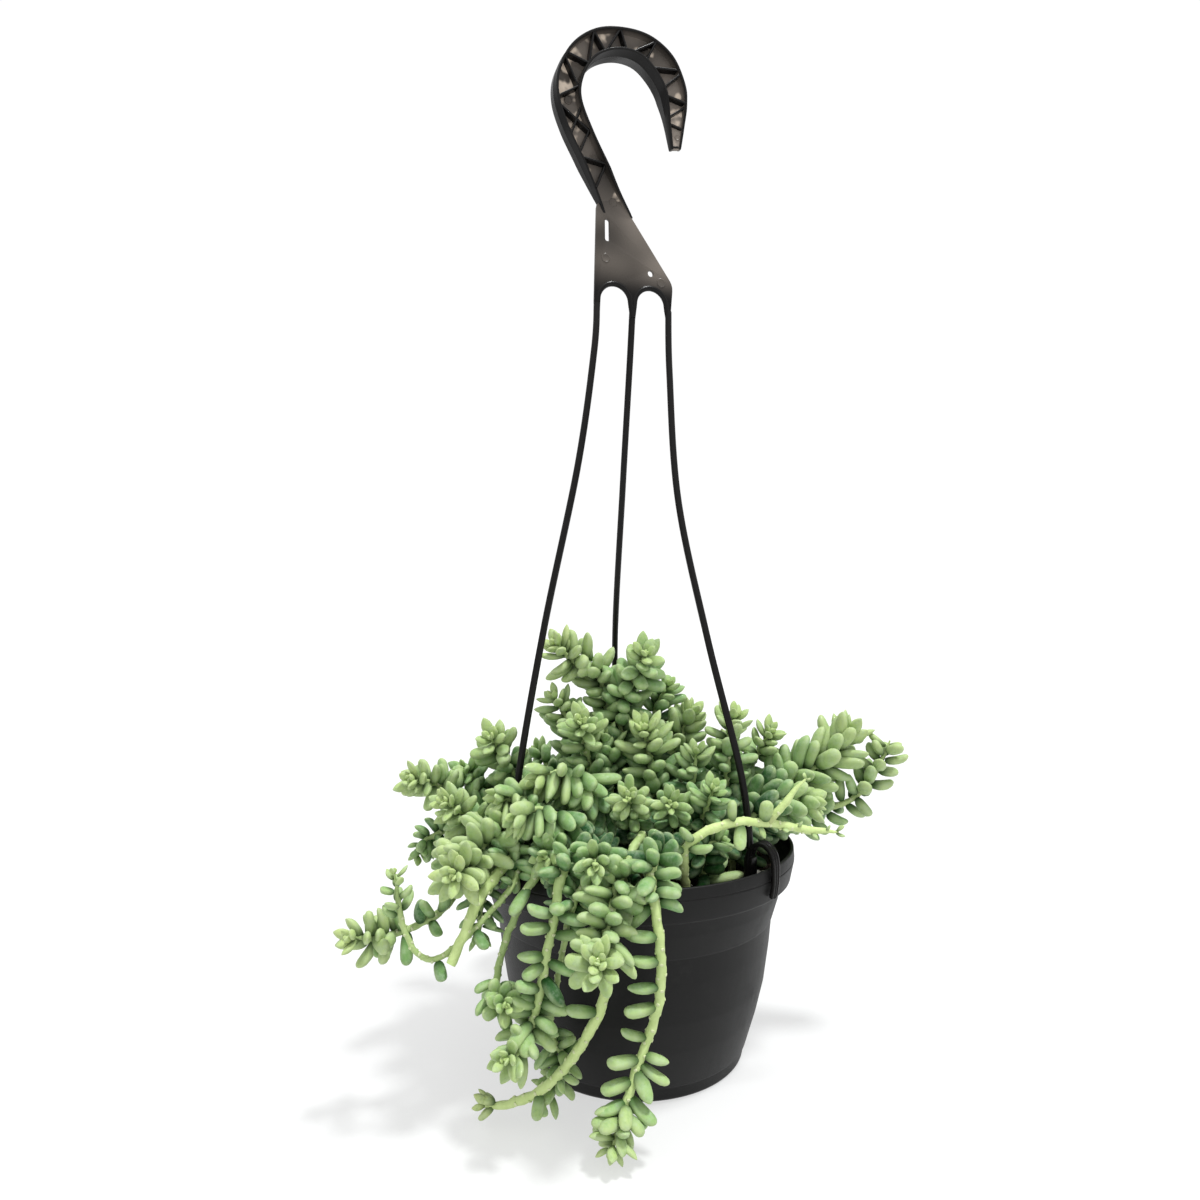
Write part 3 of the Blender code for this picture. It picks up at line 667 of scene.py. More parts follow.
# %% Pot
POT_OUTSIDE = [
    (50.2, 0.0), (51.2, 1.2), (51.8, 6.0), (52.8, 6.6), (58.1, 23.5), (61.6, 37.3), (64.2, 54.3),
    (65.5, 66.2), (65.9, 66.8), (69.0, 76.6), (70.5, 83.4), (74.4, 84.4), (76.45, 93.8),
    (76.1, 94.2), (76.5, 94.7), (76.2, 99.4),
]
POT_INSIDE = [
    (74.6, 99.4), (75.0, 94.5), (68.9, 83.6), (67.4, 76.6), (64.0, 66.5), (62.6, 54.3),
    (60.0, 37.3), (56.5, 23.5), (51.2, 6.6), (49.7, 2.0),
]


def drained_tree():
    tree, given, finish = new_tree(
        "drained_pot", holes="int", ring="float", drill="float", depth="float"
    )
    ring = add(
        tree, "GeometryNodeMeshCircle", {"Vertices": given["holes"], "Radius": given["ring"]}
    )
    spots = add(
        tree, "GeometryNodeTransform", {0: ring, "Rotation": (0.0, 0.0, math.radians(30))}
    )
    drill = add(
        tree, "GeometryNodeMeshCylinder",
        {"Vertices": 32, "Radius": given["drill"], "Depth": given["depth"]},
    )
    drills = add(tree, "GeometryNodeInstanceOnPoints", {"Points": spots, "Instance": drill})
    solid = add(tree, "GeometryNodeRealizeInstances", {0: drills})
    return finish(add(
        tree, "GeometryNodeMeshBoolean", {"Mesh 1": given["geometry"], "Mesh 2": solid},
        operation="DIFFERENCE", solver="EXACT",
    ))


pot_outline = rounded([(0, 0), *POT_OUTSIDE, *POT_INSIDE, (0, POT_INSIDE[-1][1])], 0.9)
blank = mesh_of("pot_blank", turned([tuple(point) for point in pot_outline], 144))
moulded_pot = grown(
    "moulded_pot", blank, drained_tree(), holes=6, ring=34.0 * MM, drill=3.6 * MM,
    depth=8.0 * MM, material=POT,
)
moulded_pot.data.set_sharp_from_angle(angle=math.radians(40))
stands_for(moulded_pot, "pot_plastic", "pot")
print("pot faces:", len(moulded_pot.data.polygons))

# %% [markdown]
# ## The hanger
#
# Hook, plate, three wires and three clips are one moulding of black satin plastic. All of it
# but the lower wires lies in one upright plane, turned 21 degrees from the front, so those
# parts are drawn flat, as (across, up, out) in millimetres, and turned into place at the end.
#
# The hook is an I-bar, light and stiff: two flanges joined by a thin web. Its section is swept
# between an outer and an inner edge line. The flanges are low where they run out on the plate,
# lean a little so that the mould could open, and have a fine parting ridge down the middle.
# The value `flat` marks the web and the plate, which are brownish where they are thin.

# %% Hook
HANGER_TURN = math.radians(21)
HANGER_PLACE = Matrix((
    (math.cos(HANGER_TURN), 0, math.sin(HANGER_TURN), 0),
    (math.sin(HANGER_TURN), 0, -math.cos(HANGER_TURN), 0),
    (0, 1, 0, 0),
    (0, 0, 0, 1),
))
INNER_HALF = 5.7
OUTER_HALF = 4.7
FLANGE = 1.2
FILLET = 0.35
WEB = 1.6
HOOK_OUTER = [
    (-12.0, 401.5), (-16.4, 410.3), (-24.6, 425.9), (-31.9, 439.8), (-36.1, 453.0),
    (-35.0, 465.5), (-27.6, 478.8), (-15.5, 488.0), (-1.0, 491.4), (13.0, 490.2), (24.5, 483.0),
    (30.8, 471.0), (32.2, 460.5), (31.4, 451.0), (29.9, 439.6),
]
HOOK_INNER = [
    (3.4, 401.5), (-4.2, 412.5), (-11.2, 424.5), (-18.5, 438.2), (-24.0, 452.0), (-23.0, 462.5),
    (-17.4, 472.4), (-9.6, 477.7), (-1.0, 479.8), (7.0, 478.6), (13.4, 473.7), (18.4, 466.8),
    (20.8, 459.4), (22.4, 451.0), (24.3, 438.6),
]


def hanger_part(piece):
    return stands_for(piece, "hanger_plastic", "hanger")


def flat_part(name, mesh):
    """A piece of the hanger from a mesh that is drawn in the hanger's plane."""
    mesh.transform(HANGER_PLACE)
    return hanger_part(placed(name, mesh, HANGER))


def share_of_depth(along):
    """The flanges run out on the plate and grow shallow towards the tip."""
    return min(1.0, 0.16 + 6.5 * along, 1.0 - 4.2 * (along - 0.82))


def hook_mesh(stations=110):
    made = bmesh.new()
    flat = made.verts.layers.float.new("flat")
    rings = []
    outer, inner = smooth_line(HOOK_OUTER, stations), smooth_line(HOOK_INNER, stations)
    for k, (o, i) in enumerate(zip(outer, inner)):
        width = (o - i).length
        share = share_of_depth(k / (stations - 1))
        low, high = INNER_HALF * share, OUTER_HALF * share
        web = min(WEB / 2, high * 0.9)
        ridge = 0.3 if share > 0.7 else 0.05
        right = [
            (0, low), (FLANGE, low), (FLANGE + FILLET, web), (width - FLANGE - FILLET, web),
            (width - FLANGE, high), (width, high), (width, 0.5),
        ]
        left = [(x, -out) for x, out in reversed(right)]
        section = [*right, (width + ridge, 0), *left, (0, -0.5), (-ridge, 0), (0, 0.5)]
        ring = []
        for x, out in section:
            spot = i + (o - i) * (x / width)
            ring.append(made.verts.new((spot.x, spot.y, out)))
            ring[-1][flat] = float(abs(out) == web)
        rings.append(ring)
    joined_rings(made, rings)
    return mesh_of("hook", made)


hook = soft_edged(flat_part("hook_bar", hook_mesh()), 0.22)
print("hook faces:", len(hook.data.polygons))

# %% [markdown]
# ## The hook's ribs and the round marks
#
# Zigzag ribs cross the web from flange to flange, and low round marks show where the pins of
# the mould pushed the part out. Both are one shape repeated, so a Geometry Nodes tree places
# the copies: each point of its source mesh stores which way the copy runs and how big it is.

# %% Ribs and marks
# Each rib runs from this share of the hook's outer edge to this share of its inner edge.
HOOK_RIBS = [
    (0.08, 0.14), (0.14, 0.14), (0.15, 0.22), (0.19, 0.27), (0.26, 0.21), (0.28, 0.33),
    (0.39, 0.32), (0.40, 0.41), (0.49, 0.41), (0.49, 0.49), (0.56, 0.49), (0.56, 0.58),
    (0.66, 0.60), (0.66, 0.67), (0.75, 0.70), (0.76, 0.79), (0.85, 0.82), (0.86, 0.91),
    (0.94, 0.93), (0.99, 0.99),
]
RIB_THICKNESS = 1.1
RIB_SECTION = [(0.32, -0.5), (0.45, -0.47), (0.56, -0.08), (0.56, 0.08), (0.45, 0.47), (0.32, 0.5)]
# Across, up and radius of each mark.
MARKS = [
    (-11.1, 380.2, 2.1), (18.2, 371.6, 2.3), (-7.0, 407.5, 2.0), (-17.0, 427.0, 1.9),
    (-29.5, 452.6, 1.9), (-24.0, 472.6, 1.9), (8.4, 484.2, 1.9), (27.9, 445.0, 1.3),
]
MARK_OUTLINE = [
    (0, 0.06), (0.7, 0.12), (0.86, 0.30), (1.0, 0.22), (1.06, 0.0), (1.06, -0.2), (0, -0.2),
]
MARK_LEVEL = 0.85
UP = Vector((0, 0, 1))
OUT = HANGER_PLACE @ UP


def shape_of(tree, source):
    """The geometry of an object that is given to a tree."""
    values = {0: source, "As Instance": True}
    return add(tree, "GeometryNodeObjectInfo", values, output="Geometry")


def copies_tree():
    """A copy of the shape on each point, its Z along `aim`, its Y along `out`, scaled by `size`."""
    tree, given, finish = new_tree("placed_copies", shape="object")
    aim, out, size = (kept_value(tree, name, "FLOAT_VECTOR") for name in ("aim", "out", "size"))
    points = add(tree, "GeometryNodeMeshToPoints", {0: given["geometry"]})
    return finish(instanced(tree, points, shape_of(tree, given["shape"]), aim, out, size))


def in_plane(across, up, out=0.0):
    return HANGER_PLACE @ Vector((across, up, out)) * MM


def hook_spot(along, outer):
    """A point on the hook's outer or inner flange, a share along it."""
    o, i = (on_route(line, along * (len(line) - 1)) for line in (HOOK_OUTER, HOOK_INNER))
    inset = 0.5 * FLANGE / (o - i).length
    return i + (o - i) * (1 - inset if outer else inset)


def rib_shape():
    """A unit rib: thinner at its two free edges than at the web, with the edges rounded."""
    made = bmesh.new()
    section = RIB_SECTION + [(-x, y) for x, y in reversed(RIB_SECTION)]
    joined_rings(made, [[made.verts.new((x, y, z)) for x, y in section] for z in (-0.5, 0.5)])
    return mesh_of("rib", made, 60)


COPIES = copies_tree()


def copied(name, shape, spots, flat):
    """Copies of a shape at (place, aim, out, size) spots, in metres, as a piece of the hanger."""
    places, aims, outs, sizes = zip(*spots)
    source = point_mesh(name, places, aim=aims, out=outs, size=sizes)
    helper = bpy.data.objects.new("shape_" + name, shape)
    made = grown(name, source, COPIES, shape=helper, material=HANGER)
    bpy.data.objects.remove(helper)
    fill_attribute(made.data, "flat", flat)
    return hanger_part(made)


rib_spots = []
for high, low in HOOK_RIBS:
    a, b = in_plane(*hook_spot(high, True)), in_plane(*hook_spot(low, False))
    depth = 2 * OUTER_HALF * share_of_depth((high + low) / 2) - 0.6
    rib_spots.append(((a + b) / 2, b - a, OUT, (RIB_THICKNESS, depth, (b - a).length / MM)))
mark_spots = [(in_plane(x, y, MARK_LEVEL), OUT, UP, (r, r, 1.0)) for x, y, r in MARKS]
copied("hook_ribs", rib_shape(), rib_spots, 0.0)
copied("round_marks", mesh_of("mark", turned(MARK_OUTLINE, 24), 60), mark_spots, 0.85)

# %% [markdown]
# ## The plate
#
# Below the hook the moulding flattens into a plate with a slot, a round hole and two arches
# that split it into three legs. A flat 2D curve suits it: the curve is filled between its
# outline and its holes, and given a thickness and rounded edges in one go.

# %% Plate
PLATE = 1.8
PLATE_EDGE = 0.3
PLATE_FOOT = 358.0
PLATE_UPPER = [
    (23.4, PLATE_FOOT), (24.6, 371.0), (-2.6, 409.0), (-15.4, 407.0), (-17.2, PLATE_FOOT),
]
# Across, up, half the width and half the height of each opening.
PLATE_SLOT = (-10.1, 393.9, 1.15, 5.3)
PLATE_HOLE = (12.6, 375.6, 1.5, 1.5)
ARCH_RADIUS = 7.6
ARCH_CENTRES = (-6.6, 12.6)
ARCH_HEIGHT = 360.0


def arch_line(centre, radius, steps=16):
    """Up one leg, over the arch and down the other leg."""
    turns = [math.pi * (1 - k / steps) for k in range(steps + 1)]
    bend = [(centre + radius * math.cos(t), ARCH_HEIGHT + radius * math.sin(t)) for t in turns]
    return [(centre - radius, PLATE_FOOT), *bend, (centre + radius, PLATE_FOOT)]


def oval(x, y, half_width, half_height, count=28):
    """An upright oval with straight sides, or a circle where both halves are equal."""
    made = []
    for k in range(count):
        turn = math.tau * (k + 0.5) / count
        lift = math.copysign(half_height - half_width, math.sin(turn))
        made.append((x + half_width * math.cos(turn), y + lift + half_width * math.sin(turn)))
    return made


def plate_mesh():
    outline = [point for centre in ARCH_CENTRES for point in arch_line(centre, ARCH_RADIUS)]
    outline += [tuple(point) for point in rounded(PLATE_UPPER, 3.0)]
    curve = bpy.data.curves.new("plate", "CURVE")
    curve.dimensions = "2D"
    curve.fill_mode = "BOTH"
    curve.extrude = (PLATE / 2 - PLATE_EDGE) * MM
    curve.bevel_depth = PLATE_EDGE * MM
    curve.bevel_resolution = 2
    curve.offset = -PLATE_EDGE * MM
    for line in (outline, oval(*PLATE_SLOT), oval(*PLATE_HOLE)):
        spline = curve.splines.new("POLY")
        spline.points.add(len(line) - 1)
        for point, (x, y) in zip(spline.points, line):
            point.co = (x * MM, y * MM, 0, 1)
        spline.use_cyclic_u = True
    helper = placed("plate_curve", curve)
    made = bmesh.new()
    made.from_mesh(result_of(helper))
    bpy.data.objects.remove(helper)
    bmesh.ops.remove_doubles(made, verts=made.verts, dist=1e-6)
    return mesh_of("plate", made, 60, scale=1.0)


plate = flat_part("hanger_plate", plate_mesh())
fill_attribute(plate.data, "flat", 0.8)
print("plate faces:", len(plate.data.polygons))

# %% [markdown]
# ## The wires and the beads
#
# The three wires are round rods on smooth curves, and a raised bead of the same rod follows
# each arch. One tree makes both: a circle swept along the curve.

# %% Wires and beads
WIRE_RADIUS = 1.6
BEAD_RADIUS = 1.35
WIRES = {
    "left": [(-14.6, -5.6, 358), (-16.2, -9.9, 334), (-24.4, -15.3, 279), (-40.5, -22.6, 204),
             (-52.4, -28.6, 138), (-56.6, -33.4, 96)],
    "middle": [(2.8, 1.1, 358), (1.4, 6.0, 334), (-2.5, 21.5, 273), (-7.0, 41.0, 196),
               (-6.4, 57.0, 138), (-5.8, 65.2, 96)],
    "right": [(20.8, 8.0, 358), (20.6, 2.8, 326), (22.9, -9.7, 263), (34.5, -22.8, 197),
              (47.5, -36.0, 135), (50.2, -42.1, 96)],
}
LEGS = (-15.6, 3.0, 22.3)
LEG_FOOT = 353


def rod_tree():
    tree, given, finish = new_tree("rod", radius="float")
    route = add(tree, "GeometryNodeMeshToCurve", {0: given["geometry"]})
    return finish(swept(tree, route, 16, given["radius"]))


ROD = rod_tree()


def rod(name, points, radius):
    """A rod through points in metres, as a piece of the hanger."""
    made = grown(name, line_mesh(name, points), ROD, radius=radius * MM, material=HANGER)
    return hanger_part(made)


for name, route in WIRES.items():
    rod("wire_" + name, [point * MM for point in smooth_line(route, 60)], WIRE_RADIUS)
for number, centre in enumerate(ARCH_CENTRES, start=1):
    arch = arch_line(centre, ARCH_RADIUS + 1.0)[1:-1]
    line = [(LEGS[number - 1], LEG_FOOT), *arch, (LEGS[number], LEG_FOOT)]
    rod("arch_bead_%d" % number, [in_plane(*point) for point in line], BEAD_RADIUS)

# %% [markdown]
# ## The clips
#
# Each wire ends inside the rim in a stiff leg, and a strap bends from the leg over the rim and
# hooks under its edge. The strap is a shallow channel, swept by hand because it must stay
# square to the pot.

# %% Clips
CLIP_ANGLES = {"left": 210.5, "middle": 95.1, "right": 319.0}
LEG_RADIUS = 65.6
CLIP_STRAP = [
    (LEG_RADIUS, 92.0), (LEG_RADIUS, 103.0), (68.0, 107.6), (72.2, 109.4), (76.2, 107.0),
    (77.9, 102.0), (77.95, 95.0), (77.3, 90.0), (76.5, 86.8),
]
CLIP_SECTION = [
    (-2.9, -0.7), (-2.4, -1.0), (2.4, -1.0), (2.9, -0.7), (2.9, 0.8), (2.0, 1.0), (1.5, 0.4),
    (0.7, 0.4), (0.3, 0.95), (-0.3, 0.95), (-0.7, 0.4), (-1.5, 0.4), (-2.0, 1.0), (-2.9, 0.8),
]
CLIP_LEG = [(-2.1, -1.9), (2.1, -1.9), (2.1, 2.1), (-2.1, 2.1)]


def clip_mesh(angle):
    """A strap and its leg, in the upright plane at this angle about the pot's axis."""
    made = bmesh.new()
    turn = math.radians(angle)
    outward = Vector((math.cos(turn), math.sin(turn), 0))
    sideways = Vector((-math.sin(turn), math.cos(turn), 0))
    path = [outward * p.x + Vector((0, 0, p.y)) for p in smooth_line(CLIP_STRAP, 48)]
    last = len(path) - 1
    rings = []
    for k, point in enumerate(path):
        off = (path[min(k + 1, last)] - path[max(k - 1, 0)]).cross(sideways).normalized()
        narrow = min(1.1 - 0.4 * k / len(path), 0.45 + 0.15 * (last - k))
        spots = [point + sideways * x * narrow + off * y for x, y in CLIP_SECTION]
        rings.append([made.verts.new(spot) for spot in spots])
    joined_rings(made, rings)
    corners = [outward * (LEG_RADIUS + y) + sideways * x for x, y in CLIP_LEG]
    rings = [[made.verts.new(c + Vector((0, 0, z))) for c in corners] for z in (90.6, 102.5)]
    joined_rings(made, rings)
    return mesh_of("clip", made)


for name, angle in CLIP_ANGLES.items():
    hanger_part(soft_edged(placed("clip_" + name, clip_mesh(angle), HANGER), 0.25))
hanging = [piece for piece in scene.objects if piece.name.startswith(("wire", "clip"))]
print("wires and clips:", len(hanging))

# %% [markdown]
# ## The soil and the perlite
#
# The soil is a shallow dome of peat and bark crumbs below the rim. A bumpy skin alone would
# look like a carpet, so a Geometry Nodes tree scatters two thousand crumbs on it, each turned
# and scaled at random, with its own tone. A few white grains of perlite lie on top.

# %% Soil
SOIL_LEVEL = 86.0
SOIL_CROWN = 2.5
SOIL_RADIUS = 69.6
CRUMBS_FROM = 0.0855
SOIL_OUTLINE = [
    (0, 2.3), (49.4, 2.3), (50.9, 6.6), (56.2, 23.5), (59.7, 37.3), (62.3, 54.3), (63.7, 66.5),
    (67.1, 76.6), (68.6, 83.6), (69.3, 85.4),
]
CRUMB_SIZES = [(1, 1, 0.8), (1.5, 0.8, 0.5), (2.2, 0.6, 0.35), (1, 0.9, 1)]


def soil_height(x, y):
    """The soil is a shallow dome, a few millimetres higher in the middle."""
    return SOIL_LEVEL + SOIL_CROWN * (1 - (math.hypot(x, y) / SOIL_RADIUS) ** 2)


def soil_mesh():
    dome = [(r, soil_height(r, 0)) for r in range(66, -1, -3)]
    made = turned([*SOIL_OUTLINE, *dome], 120)
    for vert in made.verts:
        if vert.co.z > 85 and math.hypot(vert.co.x, vert.co.y) < 67:
            vert.co.z += 1.1 * clouds.noise(vert.co * 0.22) + 0.5 * clouds.noise(vert.co * 0.7)
    return mesh_of("soil_bed", made, 60)


def crumb_mesh(name, size, seed):
    """An angular lump of a few faces, one unit across."""
    made = bmesh.new()
    bmesh.ops.create_icosphere(made, subdivisions=1, radius=0.5)
    for vert in made.verts:
        vert.co *= 1 + 0.5 * clouds.noise(vert.co * 2.3 + Vector((seed, 0, 0)))
        vert.co *= Vector(size)
    return mesh_of(name, made, crease=None, scale=1.0)


def shapes_of(tree, source):
    """The objects of a collection that is given to a tree, to be picked by number."""
    values = {0: source, "Separate Children": True, "Reset Children": True}
    return add(tree, "GeometryNodeCollectionInfo", values)


def shape_set(name, meshes):
    """A collection of shapes for a tree to copy. It isn't linked, so it isn't in the picture."""
    made = bpy.data.collections.new(name)
    for mesh in meshes:
        made.objects.link(bpy.data.objects.new(mesh.name, mesh))
    return made


def crumbs_tree():
    tree, given, finish = new_tree(
        "crumbs", crumbs="collection", density="float", smallest="float", largest="float",
        seed="int",
    )
    seed = given["seed"]
    height = add(tree, "GeometryNodeInputPosition").parts()[2]
    spots = add(
        tree, "GeometryNodeDistributePointsOnFaces",
        {"Mesh": given["geometry"], "Selection": height.above(CRUMBS_FROM),
         "Density": given["density"], "Seed": seed},
    )
    tone = random_number(tree, 0.0, 1.0, seed, 1)
    angles = [random_number(tree, 0.0, 6.28, seed, k) for k in (2, 3, 4)]
    share = random_number(tree, 0.0, 1.0, seed, 5)
    size = given["smallest"] + (given["largest"] - given["smallest"]) * share * share
    return finish(add(
        tree, "GeometryNodeInstanceOnPoints",
        {"Points": store(tree, spots, tone=tone * tone), "Pick Instance": True,
         "Instance": shapes_of(tree, given["crumbs"]), "Rotation": combined(tree, *angles),
         "Scale": combined(tree, size, size, size)},
    ))


crumb_set = shape_set(
    "crumb_set", [crumb_mesh("crumb_%d" % k, size, 3.0 * k) for k, size in enumerate(CRUMB_SIZES)]
)
CRUMBS = crumbs_tree()
bed = placed("soil_bed", soil_mesh(), SOIL)
fill_attribute(bed.data, "tone", 0.0)
crumbs = grown(
    "soil_crumbs", bed.data, CRUMBS, crumbs=crumb_set, density=150000.0, smallest=0.6 * MM,
    largest=3.4 * MM, seed=4, material=SOIL,
)
specks = grown(
    "perlite_specks", bed.data, CRUMBS, crumbs=crumb_set, density=4500.0, smallest=0.5 * MM,
    largest=1.8 * MM, seed=9, material=PERLITE,
)
for piece in (bed, crumbs):
    stands_for(piece, "soil", "soil")
stands_for(specks, "perlite", "soil")
print("crumb faces:", len(crumbs.data.polygons))

# %% [markdown]
# The three big grains lie on the soil by the right clip. Each is a ball pushed in and out by
# three sizes of noise, the smallest of which only makes pits, and flattened where it rests.

# %% Perlite
GRAINS = [(55, -28, 3.2), (59.5, -23.5, 2.4), (42, -46, 2.6)]
GRAIN_REST = 0.55
for number, (x, y, radius) in enumerate(GRAINS, start=1):
    made = bmesh.new()
    bmesh.ops.create_icosphere(made, subdivisions=5, radius=radius)
    for vert in made.verts:
        place = vert.co / radius + Vector((5.0 * number, 0, 0))
        lump = 0.16 * clouds.noise(place * 1.6) + 0.10 * clouds.noise(place * 4.0)
        pit = min(clouds.noise(place * 8.0), 0.1)
        vert.co *= 1.0 + lump + 0.12 * pit
        vert.co.z = max(vert.co.z, -GRAIN_REST * radius)
    place = (x, y, soil_height(x, y) + 0.3 + GRAIN_REST * radius)
    bmesh.ops.translate(made, verts=made.verts[:], vec=place)
    grain = placed("perlite_grain_%d" % number, mesh_of("perlite_grain", made, 80), PERLITE)
    stands_for(grain, "perlite", "perlite_%d" % number)

# %% [markdown]
# ## Leaves
#
# A burro's tail leaf is a plump spindle, 8 to 16 mm long, with a thin neck where it joins the
# stem, a rounder underside and a slight curl towards the tip of the shoot. Four kinds are
# enough: a flatter spoon-shaped petal for the rosettes, a blunt one, a curved one and a tapered
# one. Each is one unit long and one wide, so a copy is scaled to any size. They are rings of
# nine points joined by quads, kept to a few dozen faces because there are over two thousand
# copies. Each point stores how far along the leaf it lies and how near its thin edge.


# %% Leaf meshes
LEAF_SIDES = 9
PETAL = [
    (0.005, 0.42), (0.09, 0.60), (0.26, 0.84), (0.44, 0.98), (0.60, 1.0), (0.77, 0.82),
    (0.89, 0.50), (0.97, 0.19),
]
BLUNT = [
    (0.005, 0.42), (0.06, 0.66), (0.18, 0.86), (0.38, 0.97), (0.60, 1.0), (0.80, 0.94),
    (0.92, 0.70), (0.98, 0.36),
]
TAPERED = [
    (0.005, 0.42), (0.07, 0.68), (0.20, 0.90), (0.38, 1.0), (0.57, 0.98), (0.75, 0.84),
    (0.89, 0.58), (0.97, 0.28),
]
# The widths, the curl and the flatness of each kind.
LEAF_KINDS = {
    "leaf_0_petal": (PETAL, 0.28, 0.64),
    "leaf_1_blunt": (BLUNT, 0.12, 0.84),
    "leaf_2_curved": (BLUNT, 0.50, 0.82),
    "leaf_3_tapered": (TAPERED, 0.30, 0.80),
}
FLATTER_TOP = 0.8


def leaf_mesh(name, widths, curl, flatness):
    """A closed leaf along +Z; `widths` are (place, width) pairs from the neck to the end."""
    made = bmesh.new()
    along = made.verts.layers.float.new("along")
    edge = made.verts.layers.float.new("edge")

    def point(across, thick, place, nearness):
        vert = made.verts.new((across, thick + curl * place**2, place))
        vert[along] = place
        vert[edge] = nearness
        return vert

    rings = []
    for place, width in widths:
        ring = []
        for k in range(LEAF_SIDES):
            turn = math.tau * k / LEAF_SIDES
            across, thick = 0.5 * width * math.cos(turn), 0.5 * width * math.sin(turn)
            thick *= flatness * (FLATTER_TOP if thick > 0 else 1.0)
            ring.append(point(across, thick, place, abs(math.cos(turn))))
        rings.append(ring)
    neck, end = ([point(0, 0, height, 0.5)] * LEAF_SIDES for height in (0.0, 1.0))
    joined_rings(made, [neck, *rings, end], capped=False)
    return mesh_of(name, made, crease=None, scale=1.0)


leaf_set = shape_set("leaf_set", [leaf_mesh(name, *kind) for name, kind in LEAF_KINDS.items()])
LEAF_FACES = len(leaf_set.objects[0].data.polygons)
print("faces in a leaf:", LEAF_FACES)

# %% [markdown]
# ## How leaves sit on a shoot
#
# Leaves grow from the tip, each one turned 137.5 degrees from the last, which is the golden
# angle that sunflowers use too. Near the tip they are small, crowded and closed into a
# rosette; further back they are full-grown, spaced out and stand away from the stem. All of
# that depends on one number, the leaf's age counted from the tip, so a single Geometry Nodes
# tree makes every shoot: it samples the shoot's curve, turns and tilts a copy of a leaf at
# each place, and stores the leaf's tone for the material. The input `crowd` is about how many
# leaves share the closed heart of the rosette. Where a leaf would pass through the pot, the
# soil or the floor, it is pushed aside, as a real leaf is.


# %% Parts that every plant tree shares
GOLDEN_ANGLE = 2.39996


def curve_of(tree, source, pitch):
    """A smooth curve through the points of a source mesh, in even steps."""
    lines = add(tree, "GeometryNodeMeshToCurve", {0: source})
    smooth = add(tree, "GeometryNodeCurveSplineType", {0: lines}, spline_type="CATMULL_ROM")
    return add(tree, "GeometryNodeResampleCurve", {0: smooth, "Length": pitch}, mode="LENGTH")


def sampled(tree, route, at, angle):
    """The place and direction of the curve at a length, and a way out of it at an angle."""
    place = add(
        tree, "GeometryNodeSampleCurve", {"Curves": route, "Length": at}, output="Position",
        mode="LENGTH", use_all_curves=True,
    )
    ahead, normal = (Field(place.socket.node.outputs[name]) for name in ("Tangent", "Normal"))
    values = {"Vector": normal, "Axis": ahead, "Angle": angle}
    return place, ahead, add(tree, "ShaderNodeVectorRotate", values)


def from_axis(x, y):
    """How far a place lies from the pot's axis."""
    return (x * x + y * y).maths("SQRT")


def leaf_copies(tree, leaves, points, kept, kind, aim, towards, girth, reach):
    """Copies of the leaves on the points that are kept, each aimed and scaled."""
    further = {"Selection": kept, "Pick Instance": True, "Instance Index": kind}
    size = combined(tree, girth, girth, reach)
    return instanced(tree, points, shapes_of(tree, leaves), aim, towards, size, further)


# %% [markdown]
# ## What a leaf keeps clear of
#
# The end of a leaf is compared with a few simple surfaces: the soil and the rim for a leaf that
# grows inside the pot, and the floor and the sloping wall for one that hangs outside. Where the
# end would lie below or inside them, the leaf's aim is raised or pushed outwards.


# %% What a leaf keeps clear of
# Heights and distances from the axis in metres, each a little outside the surface it names.
SOIL_TOP, RIM_EXTRA, FLOOR_TOP = 0.090, 0.0125, 0.0036
RIM_INSIDE = (0.064, 0.068)
RIM_OUTSIDE = (0.072, 0.076)
WALL_FOOT, WALL_SLOPE = 0.0535, 0.235
WALL_TOP, WALL_CLEAR = 0.0995, 0.1045


def pushed_aside(tree, base, aim, reach):
    """The aim of a leaf, turned so that its end clears the soil, the floor and the pot's side."""
    x, y, z = (base + aim * reach).parts()
    base_x, base_y, _ = base.parts()
    far = from_axis(x, y)
    inside = 1.0 - from_axis(base_x, base_y).ramp(*RIM_OUTSIDE)
    ground = inside * (far.ramp(*RIM_INSIDE) * RIM_EXTRA + SOIL_TOP) + (1.0 - inside) * FLOOR_TOP
    rise = (ground - z).maths("MAXIMUM", 0.0) / reach
    wall = z.clamped(0.0, WALL_TOP) * WALL_SLOPE + WALL_FOOT
    push = (1.0 - inside) * (wall - far).maths("MAXIMUM", 0.0) * 1.3
    push = push * z.maths("LESS_THAN", WALL_CLEAR) / reach
    away = combined(tree, base_x, base_y, 0.0).vectors("NORMALIZE")
    return (aim + combined(tree, 0.0, 0.0, rise) + away * push).vectors("NORMALIZE")


# %% [markdown]
# ## The tree for a leafy shoot
#
# These sums are done for every leaf of a shoot at once. `age` is the leaf's number counted
# from the tip, and `size` runs from 0 for a new leaf to nearly 1 for a full-grown one.


